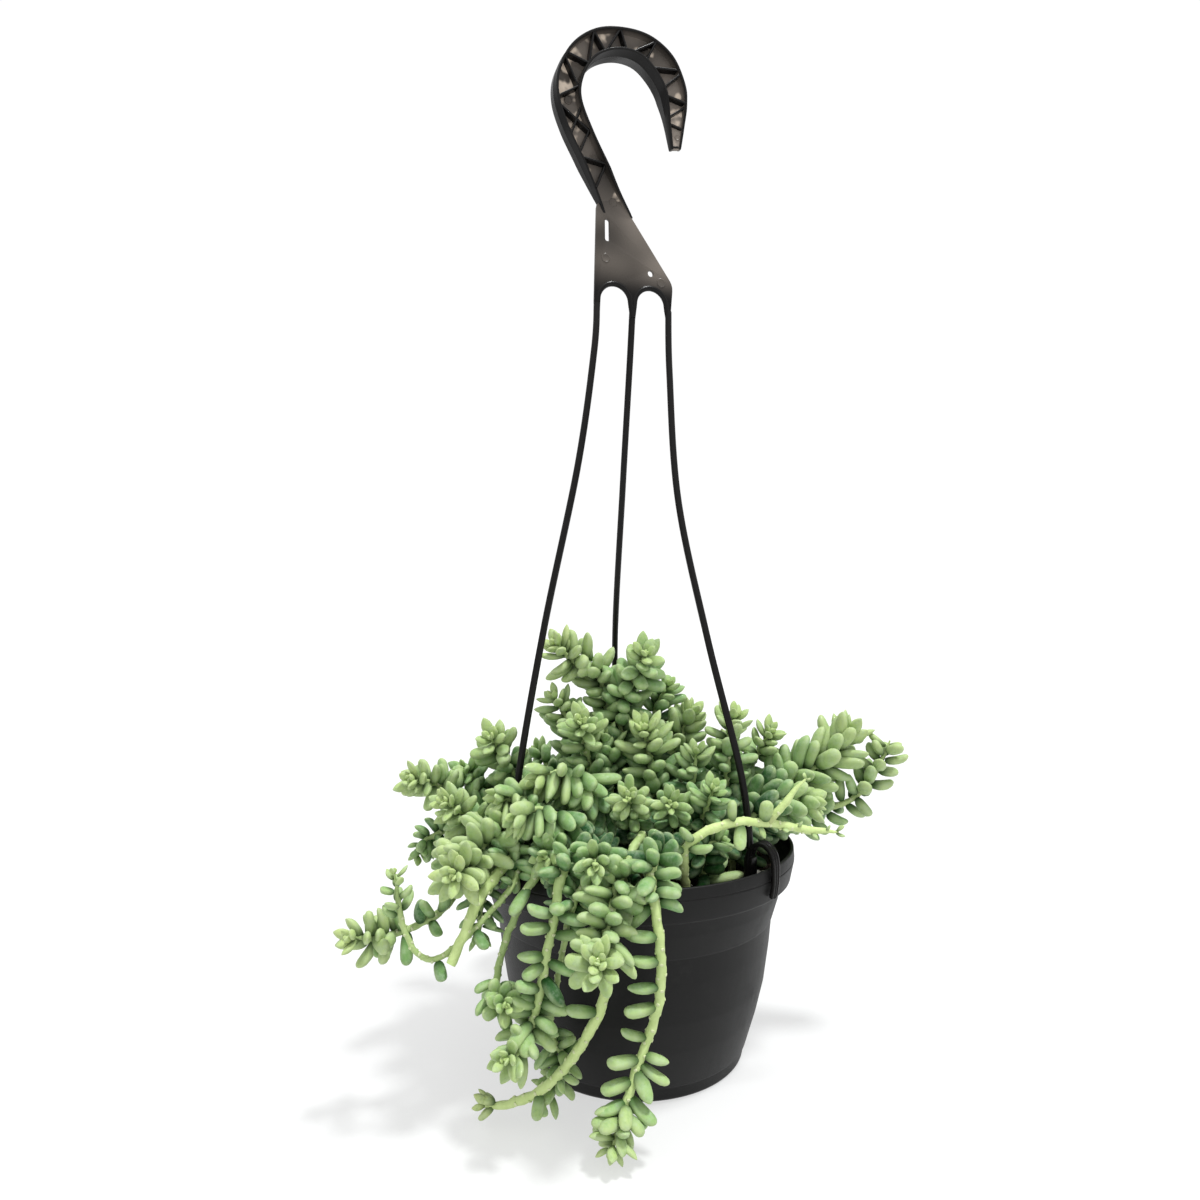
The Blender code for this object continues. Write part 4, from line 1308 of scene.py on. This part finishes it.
# %% Tree for the leaves of a shoot
def leafy_tree():
    tree, given, finish = new_tree(
        "leafy_shoot", leaves="collection", count="int", step="float", crowd="float",
        bare="float", gap_from="float", gap_to="float", end="float", length="float",
        width="float", spread="float", lift="vector", rubbed="vector", thin="float",
        tone="float", seed="int",
    )
    seed, crowd = given["seed"], given["crowd"]
    wild = [random_number(tree, -1.0, 1.0, seed, k) for k in range(8)]
    route = curve_of(tree, given["geometry"], 0.001)
    total = add(tree, "GeometryNodeCurveLength", {0: route})
    age = add(tree, "GeometryNodeInputIndex")

    # The place of each leaf: crowded at the tip, then one every `step`.
    heart = 1.0 - (age * -1.0 / crowd).maths("EXPONENT")
    opened = 1.0 - (age * -1.35 / crowd).maths("EXPONENT")
    size = age * age / (age * age + crowd * crowd * 0.55)
    at = total - (given["step"] * (age - heart * crowd + wild[6] * size * 0.5) - 0.0012)
    angle = age * GOLDEN_ANGLE + wild[0] * (0.15 + size * 0.3) + seed * 1.7
    place, ahead, outward = sampled(tree, route, at, angle)

    # Its aim and size: upright, small and slim in the heart, leaning out when full-grown.
    tilt = 0.06 + opened * (given["spread"] + wild[1] * 0.24)
    scatter = combined(tree, wild[2], wild[3], wild[4]) * (size * 0.25)
    aim = ahead * tilt.maths("COSINE") + outward * tilt.maths("SINE")
    aim = (aim + given["lift"] * size + scatter).vectors("NORMALIZE")
    base = place + outward * (size * 0.0013)
    reach = given["length"] * (0.17 + size * (0.85 + wild[5] * 0.20))
    girth = given["width"] * (0.36 + size * (0.64 + wild[7] * 0.11))
    aim = pushed_aside(tree, base, aim, reach)

    # Which leaves are kept: none on the bare part, in the gap or where they rubbed off.
    chance = random_number(tree, 0.0, 1.0, seed, 11)
    kept = (chance - given["thin"] * (age / 12.0).clamped()).above(0.0)
    kept = kept * (at - given["bare"] * total).above(0.0)
    kept = kept * (given["end"] * total - at).above(-0.003)
    past_gap = (at - given["gap_from"] * total).above(0.0)
    in_gap = past_gap * (given["gap_to"] * total - at).above(0.0)
    rub = outward.vectors("DOT_PRODUCT", given["rubbed"], output="Value")
    kept = kept * (1.0 - in_gap) * (0.55 - rub * size).above(0.0)

    # Its tone: lighter at the shoot's tip, darker further back by age and by painted shade.
    x, y, z = base.parts()
    # Painted shade: leaves low down near the pot's axis are darkened.
    painted_buried_shade = (1.0 - from_axis(x, y).ramp(0.058, 0.080)) * (1.0 - z.ramp(0.100, 0.150))
    age_and_painted_shade = ((at / total - 0.72) * 2.0).maths("MAXIMUM", -0.4)
    lightness = given["tone"] + wild[3] * 0.32 + (1.0 - size) * 0.25 + age_and_painted_shade - painted_buried_shade * 1.1
    points = add(tree, "GeometryNodePoints", {"Count": given["count"], "Position": base})
    points = store(tree, points, tone=lightness, youth=1.0 - size)
    grown_kind = random_number(tree, 0.0, 2.999, seed, 17).maths("FLOOR") + 1.0
    kind = (age - crowd * 1.7).above(0.0) * grown_kind
    return finish(leaf_copies(
        tree, given["leaves"], points, kept, kind, aim, ahead + scatter, girth, reach
    ))


LEAFY = leafy_tree()

# %% [markdown]
# ## Single leaves
#
# Where a stem has dropped most of its leaves, the few that stay are placed one by one. Each is a
# point on the stem that stores where the leaf aims and how big it is, and a short tree puts a
# leaf there.


# %% Tree for leaves placed one by one
def single_tree():
    tree, given, finish = new_tree("single_leaves", leaves="collection")
    reach, girth, kind = (kept_value(tree, name) for name in ("reach", "girth", "kind"))
    base = add(tree, "GeometryNodeInputPosition")
    aim = pushed_aside(tree, base, kept_value(tree, "aim", "FLOAT_VECTOR"), reach)
    points = add(tree, "GeometryNodeMeshToPoints", {0: given["geometry"]})
    up = combined(tree, 0.1, -0.2, 1.0)
    return finish(leaf_copies(
        tree, given["leaves"], points, True, kind, aim, up, girth, reach
    ))


SINGLE = single_tree()

# %% [markdown]
# ## How a stem is made
#
# A stem is a tube along the same curve. It thins towards the tip, its line and its outline
# waver a little, and low oval scars mark where leaves have dropped, on the same golden spiral.


# %% Tree for a stem
SCAR_STEP = 0.0021
SCAR_OUTLINE = [(0, -0.6), (1.0, -0.6), (0.86, 0.35), (0.45, 0.62), (0, 0.30)]


def stem_tree():
    tree, given, finish = new_tree(
        "stem", scar="object", radius="float", taper="float", tone="float", seed="int"
    )
    place = add(tree, "GeometryNodeInputPosition")
    values = {"Vector": place, "Scale": 170.0, "Detail": 1.0}
    sway = (add(tree, "ShaderNodeTexNoise", values, output="Color") - (0.5, 0.5, 0.5)) * 0.0016
    straight = curve_of(tree, given["geometry"], 0.0015)
    route = add(tree, "GeometryNodeSetPosition", {0: straight, "Offset": sway})

    # The tube, thinner towards its tip.
    total = add(tree, "GeometryNodeCurveLength", {0: route})
    run = add(tree, "GeometryNodeSplineParameter", output="Length")
    share = run / total
    lumps = add(tree, "ShaderNodeTexNoise", {"Vector": place, "Scale": 300.0, "Detail": 2.0})
    near_tip = 1.0 - ((total - run) / 0.012).clamped()
    width = given["radius"] * (1.08 - share * 0.22) * (0.68 + lumps * 0.64)
    width = width * (1.0 - near_tip * given["taper"] * 0.72)
    tube = swept(tree, store(tree, route, along=share), 10, width)

    # The scars, one every `SCAR_STEP` of its length.
    number = add(tree, "GeometryNodeInputIndex")
    wild = random_number(tree, -1.0, 1.0, given["seed"], 3)
    at = number * SCAR_STEP + 0.006 + wild * 0.0004
    spot, ahead, outward = sampled(tree, route, at, number * GOLDEN_ANGLE + wild * 0.3)
    count = (total / SCAR_STEP).maths("FLOOR") - 8.0
    values = {"Count": count, "Position": spot + outward * (given["radius"] * 0.90)}
    points = add(tree, "GeometryNodePoints", values)
    size = combined(tree, 0.0009 + wild * 0.0002, 0.0007, 0.0005)
    scars = instanced(tree, points, shape_of(tree, given["scar"]), outward, ahead, size)

    both = add(tree, "GeometryNodeJoinGeometry")
    for part in (tube, scars):
        feed(both.socket.node.inputs[0], part)
    real = add(tree, "GeometryNodeRealizeInstances", {0: both})
    return finish(store(tree, real, tone=given["tone"]))


def scar_mesh():
    """A low dome, one unit in radius, with a dimple where the leaf's neck came away."""
    made = turned(SCAR_OUTLINE, 8)
    worn = made.verts.layers.float.new("scar")
    along = made.verts.layers.float.new("along")
    for vert in made.verts:
        vert[worn] = float(vert.co.z > 0)
        vert[along] = 0.6
    return mesh_of("leaf_scar", made, crease=None, scale=1.0)


SCAR = bpy.data.objects.new("leaf_scar", scar_mesh())
STEMMY = stem_tree()

# %% [markdown]
# ## The shoots
#
# Each shoot is a route in millimetres, from its root in the soil to its growing tip, shaped as
# one would bend a wire, and close to the CAD's. With it go the facts of its leaves that are not
# the usual ones: the share of the route where they begin (`bare`) and end and any `gap` without
# them, their length and width, the spacing of full-grown ones, how many have dropped (`thin`),
# and how light their green is (`tone`). A `single` leaf is given by its place on the route,
# where 4.5 is half-way from the fifth point to the sixth, its aim, its length, its width and
# its tone.


# %% Routes and leaves
USUAL = {
    "leaf": (12.5, 6.2), "bare": 0.3, "gap": (0, 0), "end": 1.0, "step": 1.35, "crowd": 6.5,
    "spread": 76, "lift": (0, 0, 0.1), "rubbed": (0, 0, 0), "thin": 0.06, "tone": 0.0,
    "radius": 1.7, "taper": 1.0, "count": 100, "stem_tone": 0.0, "single": (),
}


def shoot(route, **facts):
    """A shoot with the usual facts, but for those that are given."""
    return {**USUAL, "route": route, **facts}


SHOOTS = {
    "front_trailing": shoot(
        [(12, -40, 88), (9, -60, 108), (4, -80, 108), (6, -88, 90), (7, -87, 68), (4, -85, 51),
         (-1, -85, 38), (-6, -88, 25), (-10, -92, 14), (-13, -95, 8)],
        leaf=(11.5, 6.2), bare=0.12, gap=(0.42, 0.90), step=1.3, rubbed=(0, -0.5, 0), tone=0.3,
        radius=2.1, count=130, stem_tone=0.7,
        single=[
            (3.2, (-1, -0.3, 0.1), 11, 6, 0.1), (3.6, (-1, -0.3, -0.1), 11, 6, 0.2),
            (4.1, (-1, -0.25, -0.05), 12.5, 5.5, 0.1), (4.55, (-1, -0.35, -0.1), 13, 6.2, 0.5),
            (5.4, (-1, -0.3, 0.15), 11, 5, 0.3), (5.9, (0.9, -0.35, -0.3), 10, 5, 0.4),
            (6.05, (-1, -0.4, 0.0), 13, 6.2, 0.5), (6.15, (0.8, -0.3, -0.65), 12.5, 5, 0.5),
            (6.3, (0.3, -0.6, -0.8), 12.5, 6.4, 0.3), (6.6, (-1, -0.3, -0.25), 12.5, 6.2, 0.4),
            (7.0, (0.6, -0.4, -0.7), 13, 6, 0.1), (7.15, (-0.9, -0.4, -0.35), 11, 5.6, 0.2),
            (7.6, (-1, -0.3, -0.1), 11.5, 5.4, 0.3), (7.7, (0.9, -0.2, -0.3), 9, 5, 0.1),
            (7.9, (0.2, -1, 0.1), 9, 5.4, 0.3),
        ],
    ),
    "front_yellow": shoot(
        [(-6, -54, 88), (-9, -68, 106), (-14, -83, 92), (-13, -84, 72), (-17, -84, 55),
         (-25, -82, 40), (-38, -76, 22), (-54, -69, 11), (-64, -66, 9.5)],
        leaf=(8.5, 3.8), bare=0.9, crowd=5, step=0.8, spread=50, tone=2.4, count=12, radius=2.15,
        taper=0.4, stem_tone=1.0,
        single=[
            (4.0, (-1, -0.2, 0.12), 12.5, 6, 0.2), (5.6, (0.7, -0.3, -0.5), 7, 3.6, 0.6),
            (5.7, (0.3, -0.5, -0.7), 6, 3.2, 0.5), (6.2, (-0.15, -0.5, -1), 9.5, 5, 0.4),
            (6.3, (0.35, -0.3, -1), 8, 4.4, 0.3),
        ],
    ),
    "front_rosette": shoot(
        [(1, -28, 88), (2, -50, 114), (-5, -70, 109), (-11, -83, 99), (-16, -97, 80),
         (-17, -107, 84)],
        leaf=(12.5, 6.4), bare=0.6, step=0.95, crowd=10, spread=84, tone=0.35, radius=1.9,
    ),
    "front_left_leafy": shoot(
        [(-20, -52, 88), (-26, -64, 108), (-31, -78, 107), (-34, -84, 92), (-38, -84, 74),
         (-41, -83, 58), (-45, -82, 45), (-49, -89, 42), (-52, -97, 44)],
        leaf=(12, 6), bare=0.12, gap=(0.36, 0.72), step=1.4, crowd=8, tone=0.15, count=110,
        radius=2.0, stem_tone=0.2,
        single=[
            (2.75, (0.1, -1, 0.15), 11, 6.6, 0.0), (2.9, (-0.95, -0.4, 0.1), 11, 6.2, 0.1),
            (2.9, (0.95, -0.2, -0.35), 13, 6, -0.2), (3.2, (-1, -0.3, 0.0), 12, 6.2, 0.2),
            (3.35, (0.95, 0.1, -0.2), 12.5, 5.4, 0.0), (3.8, (-1, -0.2, -0.1), 10.5, 5.8, 0.1),
            (3.95, (-0.8, -0.3, -0.55), 9.5, 6, 0.2), (3.9, (0.7, 0.1, -0.5), 14, 5.6, -0.4),
            (4.25, (0.5, -0.25, -0.85), 13, 6.4, -1.1), (4.6, (-0.8, -0.5, 0.3), 10.5, 6, 0.0),
            (5.0, (-0.9, -0.4, 0.1), 10, 5.5, 0.2), (5.5, (0.8, 0, -0.6), 10.5, 5, 0.0),
        ],
    ),
    "front_left_bare": shoot(
        [(-26, -48, 88), (-35, -60, 106), (-45, -68, 99), (-53, -70, 82), (-58, -70, 66),
         (-57, -76, 56), (-53, -87, 59)],
        leaf=(11, 5.6), bare=0.12, gap=(0.36, 0.80), step=1.3, crowd=8, tone=-0.25, radius=1.6,
        stem_tone=-0.4,
        single=[(2.0, (-0.5, -0.6, -0.7), 13, 5.6, 0.0)],
    ),
    "front_twig": shoot(
        [(-13, -58, 88), (-18, -70, 107), (-27, -81, 95), (-32, -76, 72), (-37, -70, 41),
         (-32, -69, 30), (-34, -67, 20), (-39, -66, 11)],
        leaf=(9.5, 4.6), bare=0.12, gap=(0.4, 0.74), thin=0.2, crowd=5, tone=0.1, radius=1.3,
    ),
    "left_cut": shoot(
        [(-34, -20, 88), (-44, -40, 112), (-54, -56, 107), (-65, -73, 95), (-70, -78, 84),
         (-75, -81, 73)],
        leaf=(13, 6), bare=0.1, end=0.56, step=1.2, thin=0.15, tone=0.2, radius=2.25, taper=0.0,
        stem_tone=0.8,
    ),
    "left_long_tail": shoot(
        [(-56, -6, 88), (-70, -14, 107), (-79, -30, 100), (-79, -48, 89), (-86, -55, 83),
         (-95, -58, 79), (-107, -63, 77), (-117, -71, 80)],
        leaf=(12.5, 6.4), bare=0.15, gap=(0.5, 0.84), step=1.15, crowd=8, spread=80, tone=0.75,
        stem_tone=-0.1,
        single=[
            (3.4, (-0.1, -0.3, 1), 13, 6, 0.0), (3.6, (0.25, -0.6, 0.9), 12, 6, -0.2),
            (3.8, (0.4, -0.4, 0.7), 12, 5.6, -0.1), (4.1, (-0.3, -0.7, 0.75), 11, 5.6, 0.0),
            (4.2, (0.4, -0.5, -0.8), 8, 5, -0.2), (4.7, (0.1, -0.5, 1), 11.5, 5.6, -1.0),
            (5.2, (0.05, -0.4, -1), 13, 5.6, -0.3), (5.35, (-0.2, -0.4, 1), 12.5, 5.6, 0.1),
            (5.9, (-0.15, -0.2, 1), 11, 5.4, 0.3), (6.1, (0.1, -0.5, -0.8), 7, 4, 0.1),
        ],
    ),
    "left_sprig": shoot(
        [(-38, -36, 88), (-47, -53, 105), (-54, -65, 96), (-68, -71, 82), (-80, -77, 74),
         (-88, -81, 77), (-94, -82, 90), (-96, -84, 110)],
        leaf=(7.5, 4.2), bare=0.12, gap=(0.36, 0.86), crowd=3.5, step=2.2, thin=0.1, radius=1.25,
        single=[(4.1, (0.3, -0.5, -0.9), 8, 5, -0.5), (2.9, (0.4, -0.5, -0.8), 9, 5, -0.4)],
    ),
    "left_dark_rosette": shoot(
        [(-44, -42, 88), (-54, -46, 104), (-62, -51, 103), (-66, -60, 88), (-66, -63, 77)],
        leaf=(11, 4.6), bare=0.4, step=1.2, tone=-0.75,
    ),
    "left_buds": shoot(
        [(-42, -28, 88), (-48, -34, 112), (-62, -52, 115), (-70, -70, 108), (-73, -84, 109)],
        leaf=(14, 6.6), step=1.1, crowd=10, spread=80, tone=0.8,
    ),
    "left_bright": shoot(
        [(-50, -10, 88), (-69, -26, 108), (-76, -34, 120), (-83, -44, 128)],
        leaf=(12.5, 6), crowd=9, tone=0.45,
    ),
    "left_far_rosette": shoot(
        [(-50, 2, 88), (-74, -4, 112), (-84, -8, 123), (-94, -14, 130), (-102, -25, 134)],
        leaf=(13.5, 7), crowd=9, tone=0.35,
    ),
    "left_low_dark": shoot(
        [(-60, 10, 88), (-72, 8, 106), (-92, 2, 103), (-101, -2, 100), (-104, -4, 93)],
        leaf=(9.5, 5.2), bare=0.4, tone=-0.6,
    ),
    "left_dark": shoot(
        [(-42, 18, 88), (-69, 18, 114), (-77, 12, 126), (-83, 2, 134)],
        leaf=(12.5, 6.6), crowd=8, tone=-0.6,
    ),
    "left_upper_rosette": shoot(
        [(-34, 6, 88), (-51, 4, 120), (-59, 0, 134), (-64, -5, 144), (-67, -14, 151)],
        leaf=(13.5, 7), crowd=8.5, tone=0.3,
    ),
    "top_light": shoot(
        [(2, 4, 88), (-3, 2, 122), (-5, 3, 144), (-5, 3, 160), (-2, 0, 171), (3, -6, 182),
         (6, -16, 190)],
        leaf=(14.5, 7.4), tone=-0.1, crowd=8.5, spread=82,
        single=[(3.7, (-0.3, -0.3, 1), 16, 6.6, -0.3), (3.4, (-0.9, -0.5, 0.25), 12, 6, -0.5)],
    ),
    "top_left_arm": shoot(
        [(-10, 12, 88), (-10, 12, 135), (-12, 10, 159), (-14, 8, 173), (-20, 2, 184),
         (-29, -3, 187), (-36, -8, 195)],
        leaf=(14.5, 7), bare=0.4, step=1.35, crowd=8, tone=0.7,
    ),
    "top_right_low": shoot(
        [(12, 14, 88), (5, 14, 129), (10, 14, 147), (13, 10, 162), (18, 6, 173)],
        leaf=(12.5, 6.4), tone=-0.5,
    ),
    "top_right_big": shoot(
        [(22, 12, 88), (15, 12, 125), (20, 10, 139), (26, 8, 151), (30, 6, 159)],
        leaf=(16, 7.4), spread=58, crowd=7.5, step=1.5, tone=0.25,
    ),
    "upper_left": shoot(
        [(-22, 12, 88), (-26, 8, 126), (-28, 4, 142), (-32, 0, 157), (-37, -4, 169)],
        leaf=(12, 5.8), tone=0.1,
    ),
    "upper_left_face": shoot(
        [(-14, -4, 88), (-20, -6, 119), (-21, -10, 137), (-23, -16, 152), (-24, -28, 160)],
        leaf=(13, 6), crowd=9, tone=0.1,
    ),
    "upper_middle": shoot(
        [(-4, -2, 88), (-10, -4, 119), (-11, -6, 138), (-13, -8, 151)],
        leaf=(12.5, 6.4), tone=-0.4,
    ),
    "centre_rosette": shoot(
        [(8, -6, 88), (9, -8, 115), (9, -12, 132), (7, -16, 146), (5, -22, 156)],
        leaf=(15, 7), bare=0.25, crowd=9.5, spread=70, tone=0.45,
    ),
    "centre_right": shoot(
        [(22, -6, 88), (25, -12, 115), (28, -16, 133), (29, -20, 144)],
        leaf=(13, 6.2), bare=0.25, tone=-0.05,
    ),
    "centre_front": shoot(
        [(2, -18, 88), (-1, -30, 112), (-2, -42, 124), (-4, -58, 132)],
        leaf=(10.5, 4.8), bare=0.25, crowd=9, step=1.1, tone=0.65,
    ),
    "centre_front_right": shoot(
        [(14, -18, 88), (17, -26, 110), (16, -38, 122), (14, -52, 128)],
        leaf=(10.5, 4.6), bare=0.25, crowd=8, step=1.1, tone=0.5,
    ),
    "rows_upper": shoot(
        [(-14, -16, 88), (-16, -26, 121), (-24, -38, 136), (-34, -44, 141), (-42, -48, 139)],
        leaf=(15.5, 6.7), bare=0.2, step=1.25, lift=(0.1, -0.5, -1.0), tone=0.3,
    ),
    "rows_lower": shoot(
        [(-22, -28, 88), (-24, -42, 112), (-33, -56, 124), (-42, -62, 129), (-50, -66, 127)],
        leaf=(15, 6.5), bare=0.2, step=1.25, lift=(0.1, -0.5, -1.0), tone=0.1,
    ),
    "rows_left": shoot(
        [(-32, -14, 88), (-38, -33, 116), (-48, -46, 129), (-58, -54, 131)],
        leaf=(13, 6), step=1.1, lift=(0, -0.3, -0.5), tone=0.1,
    ),
    "beads_front": shoot(
        [(-8, -40, 88), (-15, -54, 104), (-17, -68, 112), (-18, -84, 112)],
        leaf=(11.5, 5.6), bare=0.15, step=1.2, lift=(0, -0.2, -0.3), tone=-0.1,
    ),
    "beads_left": shoot(
        [(-30, -34, 88), (-33, -54, 109), (-38, -72, 112)],
        leaf=(11.5, 5.5), bare=0.15, step=1.2, lift=(0, -0.2, -0.3), tone=-0.05,
    ),
    "right_inner": shoot(
        [(28, -24, 88), (29, -34, 113), (31, -42, 124), (33, -48, 133)],
        leaf=(11.5, 5.6), bare=0.2,
    ),
    "right_inner_low": shoot(
        [(30, -38, 88), (28, -48, 107), (36, -50, 112)],
        leaf=(10.5, 5.8), bare=0.1, step=1.1, tone=-0.2,
        single=[
            (0.2, (0.95, 0.05, 0.12), 17, 6, 0.9), (0.3, (0.9, 0.5, 0.35), 13, 6, 0.2),
            (0.6, (1, 0.2, 0.5), 12, 6, 0.0),
        ],
    ),
    "right_middle": shoot(
        [(46, -16, 88), (54, -18, 112), (66, -20, 120), (82, -20, 122)],
        leaf=(14.5, 7.4), bare=0.15, step=1.2, spread=70, lift=(0.3, -0.2, -0.6), tone=0.2,
    ),
    "right_bare": shoot(
        [(20, -54, 88), (19, -62, 110), (28, -63, 119), (41, -60, 122), (55, -54, 120),
         (70, -48, 116), (87, -44, 113)],
        leaf=(5, 3), bare=0.96, crowd=3, count=4, tone=0.6, radius=2.0, stem_tone=1.0,
        single=[
            (2.9, (-0.1, -0.2, 1), 9, 5.4, 0.6), (3.15, (-0.15, -0.4, -1), 11, 5.5, 0.6),
            (3.75, (0.2, -0.3, -0.9), 6, 3.2, 0.6), (3.9, (0.1, -0.4, 1), 9.5, 6, 0.7),
            (4.5, (0.2, -0.7, -0.5), 3.5, 2.6, 0.8),
            (4.9, (0.5, -0.4, 0.5), 3.5, 2.4, 0.8), (5.3, (0.3, -0.5, -0.7), 3.8, 2.6, 0.8),
            (5.6, (0.6, -0.3, 0.5), 3, 2.2, 0.8), (5.9, (0.8, -0.2, -0.4), 4, 2.4, 0.8),
            (1.1, (-0.9, -0.3, 0.1), 9.5, 5.4, 0.0), (1.2, (0.8, -0.5, -0.1), 10.5, 5.6, 0.3),
            (1.5, (-0.6, -0.6, 0.5), 9.5, 5.5, 0.1),
        ],
    ),
    "right_fork": shoot(
        [(55, -54, 120), (60, -54, 125), (66, -53, 132), (72, -52, 138)],
        leaf=(5, 2.8), bare=0.85, crowd=2, count=3, tone=0.7, radius=1.7, stem_tone=0.9,
    ),
    "right_big_tail": shoot(
        [(40, -8, 88), (50, -6, 112), (64, -2, 121), (78, 0, 128), (95, 0, 137), (106, 0, 149)],
        leaf=(17, 7.6), bare=0.15, crowd=8, step=1.05, spread=64, tone=0.45, radius=2.0,
    ),
    "right_thin": shoot(
        [(54, 6, 88), (65, 8, 104), (78, 8, 104), (98, 4, 112), (110, 2, 119), (118, 0, 130),
         (123, -2, 141), (125, -2, 146)],
        leaf=(10.5, 6.6), bare=0.2, end=0.96, step=1.8, crowd=3, tone=0.4, radius=1.5,
        stem_tone=0.4,
    ),
    "behind_right_wire": shoot(
        [(30, 0, 88), (43, -4, 118), (45, -8, 136), (46, -9, 150), (48, -12, 160)],
        bare=0.25, tone=0.3,
    ),
    "right_back_tips": shoot(
        [(42, 10, 88), (55, 8, 120), (60, 8, 134), (64, 6, 142), (68, 2, 150)],
        bare=0.25, tone=0.25,
    ),
}

# %% [markdown]
# Twelve shoots fill the back of the plant. They are all of the usual kind, so a route, the
# size of the leaves and their tone are enough for each.

# %% Shoots at the back
BACK_SHOOTS = {
    "back_left": (
        [(-28, 40, 88), (-42, 58, 112), (-54, 78, 104), (-58, 90, 80), (-60, 93, 56)],
        (12.5, 6), 0.05,
    ),
    "back_middle": (
        [(6, 46, 88), (6, 64, 114), (4, 86, 108), (2, 97, 84), (2, 98, 62)], (12.5, 6), 0.2
    ),
    "back_right": (
        [(32, 38, 88), (44, 56, 116), (56, 76, 108), (62, 88, 88)], (12.5, 6), -0.1
    ),
    "back_far_left": (
        [(-50, 26, 88), (-66, 38, 112), (-86, 48, 108), (-100, 54, 96)], (11.5, 5.6), 0.1
    ),
    "back_far_right": (
        [(52, 22, 88), (64, 32, 116), (82, 42, 118), (96, 50, 110)], (11.5, 5.6), 0.2
    ),
    "back_top_left": (
        [(-16, 30, 88), (-20, 34, 130), (-30, 42, 150)], (12.5, 6), 0.0
    ),
    "back_top_right": (
        [(16, 30, 88), (20, 36, 132), (30, 46, 154)], (12.5, 6), 0.15
    ),
    "back_top": (
        [(0, 24, 88), (0, 28, 130), (-2, 34, 160)], (12.5, 6), 0.05
    ),
    "back_inner_left": (
        [(-32, 26, 88), (-40, 32, 122), (-50, 40, 136)], (12, 6), -0.15
    ),
    "back_inner_right": (
        [(34, 20, 88), (42, 27, 124), (52, 34, 140)], (12, 6), 0.0
    ),
    "back_low_left": (
        [(-12, 54, 88), (-20, 70, 108), (-28, 86, 98), (-32, 94, 76)], (11, 5.5), 0.25
    ),
    "back_low_right": (
        [(16, 50, 88), (24, 66, 108), (32, 84, 98), (36, 92, 74)], (11, 5.5), -0.2
    ),
}
for name, (route, leaf, tone) in BACK_SHOOTS.items():
    SHOOTS[name] = shoot(route, leaf=leaf, bare=0.2, tone=tone)
print("shoots:", len(SHOOTS))

# %% [markdown]
# ## Growing the plant
#
# Every shoot is now a short job for the three trees: a stem, its leaves and, for some, the
# leaves placed one by one. The shoot's number is the seed, so each grows in its own way and the
# same way every time. The fork of the bare stem is one shoot with it in the CAD.


# %% Grow every shoot
ROOT_DEPTH = 2.0
COLLAR = 4.0
HIGHEST_ROOT = 90


def rooted(route):
    """The route in metres, with an upright start in the soil if it begins there."""
    x, y, z = route[0]
    if z < HIGHEST_ROOT:
        soil = soil_height(x, y)
        route = [(x, y, soil - ROOT_DEPTH), (x, y, soil + COLLAR), *route[1:]]
    return [Vector(point) * MM for point in route]


def single_mesh(name, route, leaves):
    """One point for each leaf placed by hand, with its aim and size stored on it."""
    places, aims, reach, girth, tone = zip(*leaves)
    aims = [Vector(aim).normalized() for aim in aims]
    return point_mesh(
        name, [(on_route(route, at) + aim) * MM for at, aim in zip(places, aims)], aim=aims,
        reach=[size * MM for size in reach], girth=[size * MM for size in girth], tone=tone,
        youth=[0.1] * len(leaves),
        kind=[0.0 if size < 7 else 1.0 + k % 3 for k, size in enumerate(reach)],
    )


leaf_total = 0
for number, (name, facts) in enumerate(SHOOTS.items()):
    node = "shoot_right_bare" if name == "right_fork" else "shoot_" + name
    source = line_mesh(name, rooted(facts["route"]))
    stem = grown(
        "stem_" + name, source, STEMMY, scar=SCAR, radius=facts["radius"] * MM,
        taper=facts["taper"], tone=facts["stem_tone"], seed=number, material=STEM,
    )
    stands_for(stem, "stem", node)
    leaves = grown(
        "leaves_" + name, source, LEAFY, leaves=leaf_set, count=facts["count"],
        step=facts["step"] * MM, crowd=facts["crowd"], bare=facts["bare"],
        gap_from=float(facts["gap"][0]), gap_to=float(facts["gap"][1]), end=facts["end"],
        length=facts["leaf"][0] * MM, width=facts["leaf"][1] * MM,
        spread=math.radians(facts["spread"]), lift=facts["lift"], rubbed=facts["rubbed"],
        thin=facts["thin"], tone=facts["tone"], seed=number, material=LEAF,
    )
    stands_for(leaves, "leaf", node)
    leaf_total += len(leaves.data.polygons) // LEAF_FACES
    if facts["single"]:
        points = single_mesh(name, facts["route"], facts["single"])
        lone = grown("single_leaves_" + name, points, SINGLE, leaves=leaf_set, material=LEAF)
        stands_for(lone, "leaf", node)
        leaf_total += len(facts["single"])
print("leaves:", leaf_total)

# %% [markdown]
# ## Clearing up
#
# The shapes that were only copied are cleared away, and the last line prints how many
# triangles the scene holds.

# %% Clear away and count triangles
for helpers in (leaf_set, crumb_set):
    for leftover in list(helpers.objects):
        bpy.data.objects.remove(leftover)
    bpy.data.collections.remove(helpers)
bpy.data.objects.remove(SCAR)
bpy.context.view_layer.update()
pieces = [piece for piece in scene.objects if piece.type == "MESH"]
print("triangles:", sum(len(p.vertices) - 2 for piece in pieces for p in piece.data.polygons))
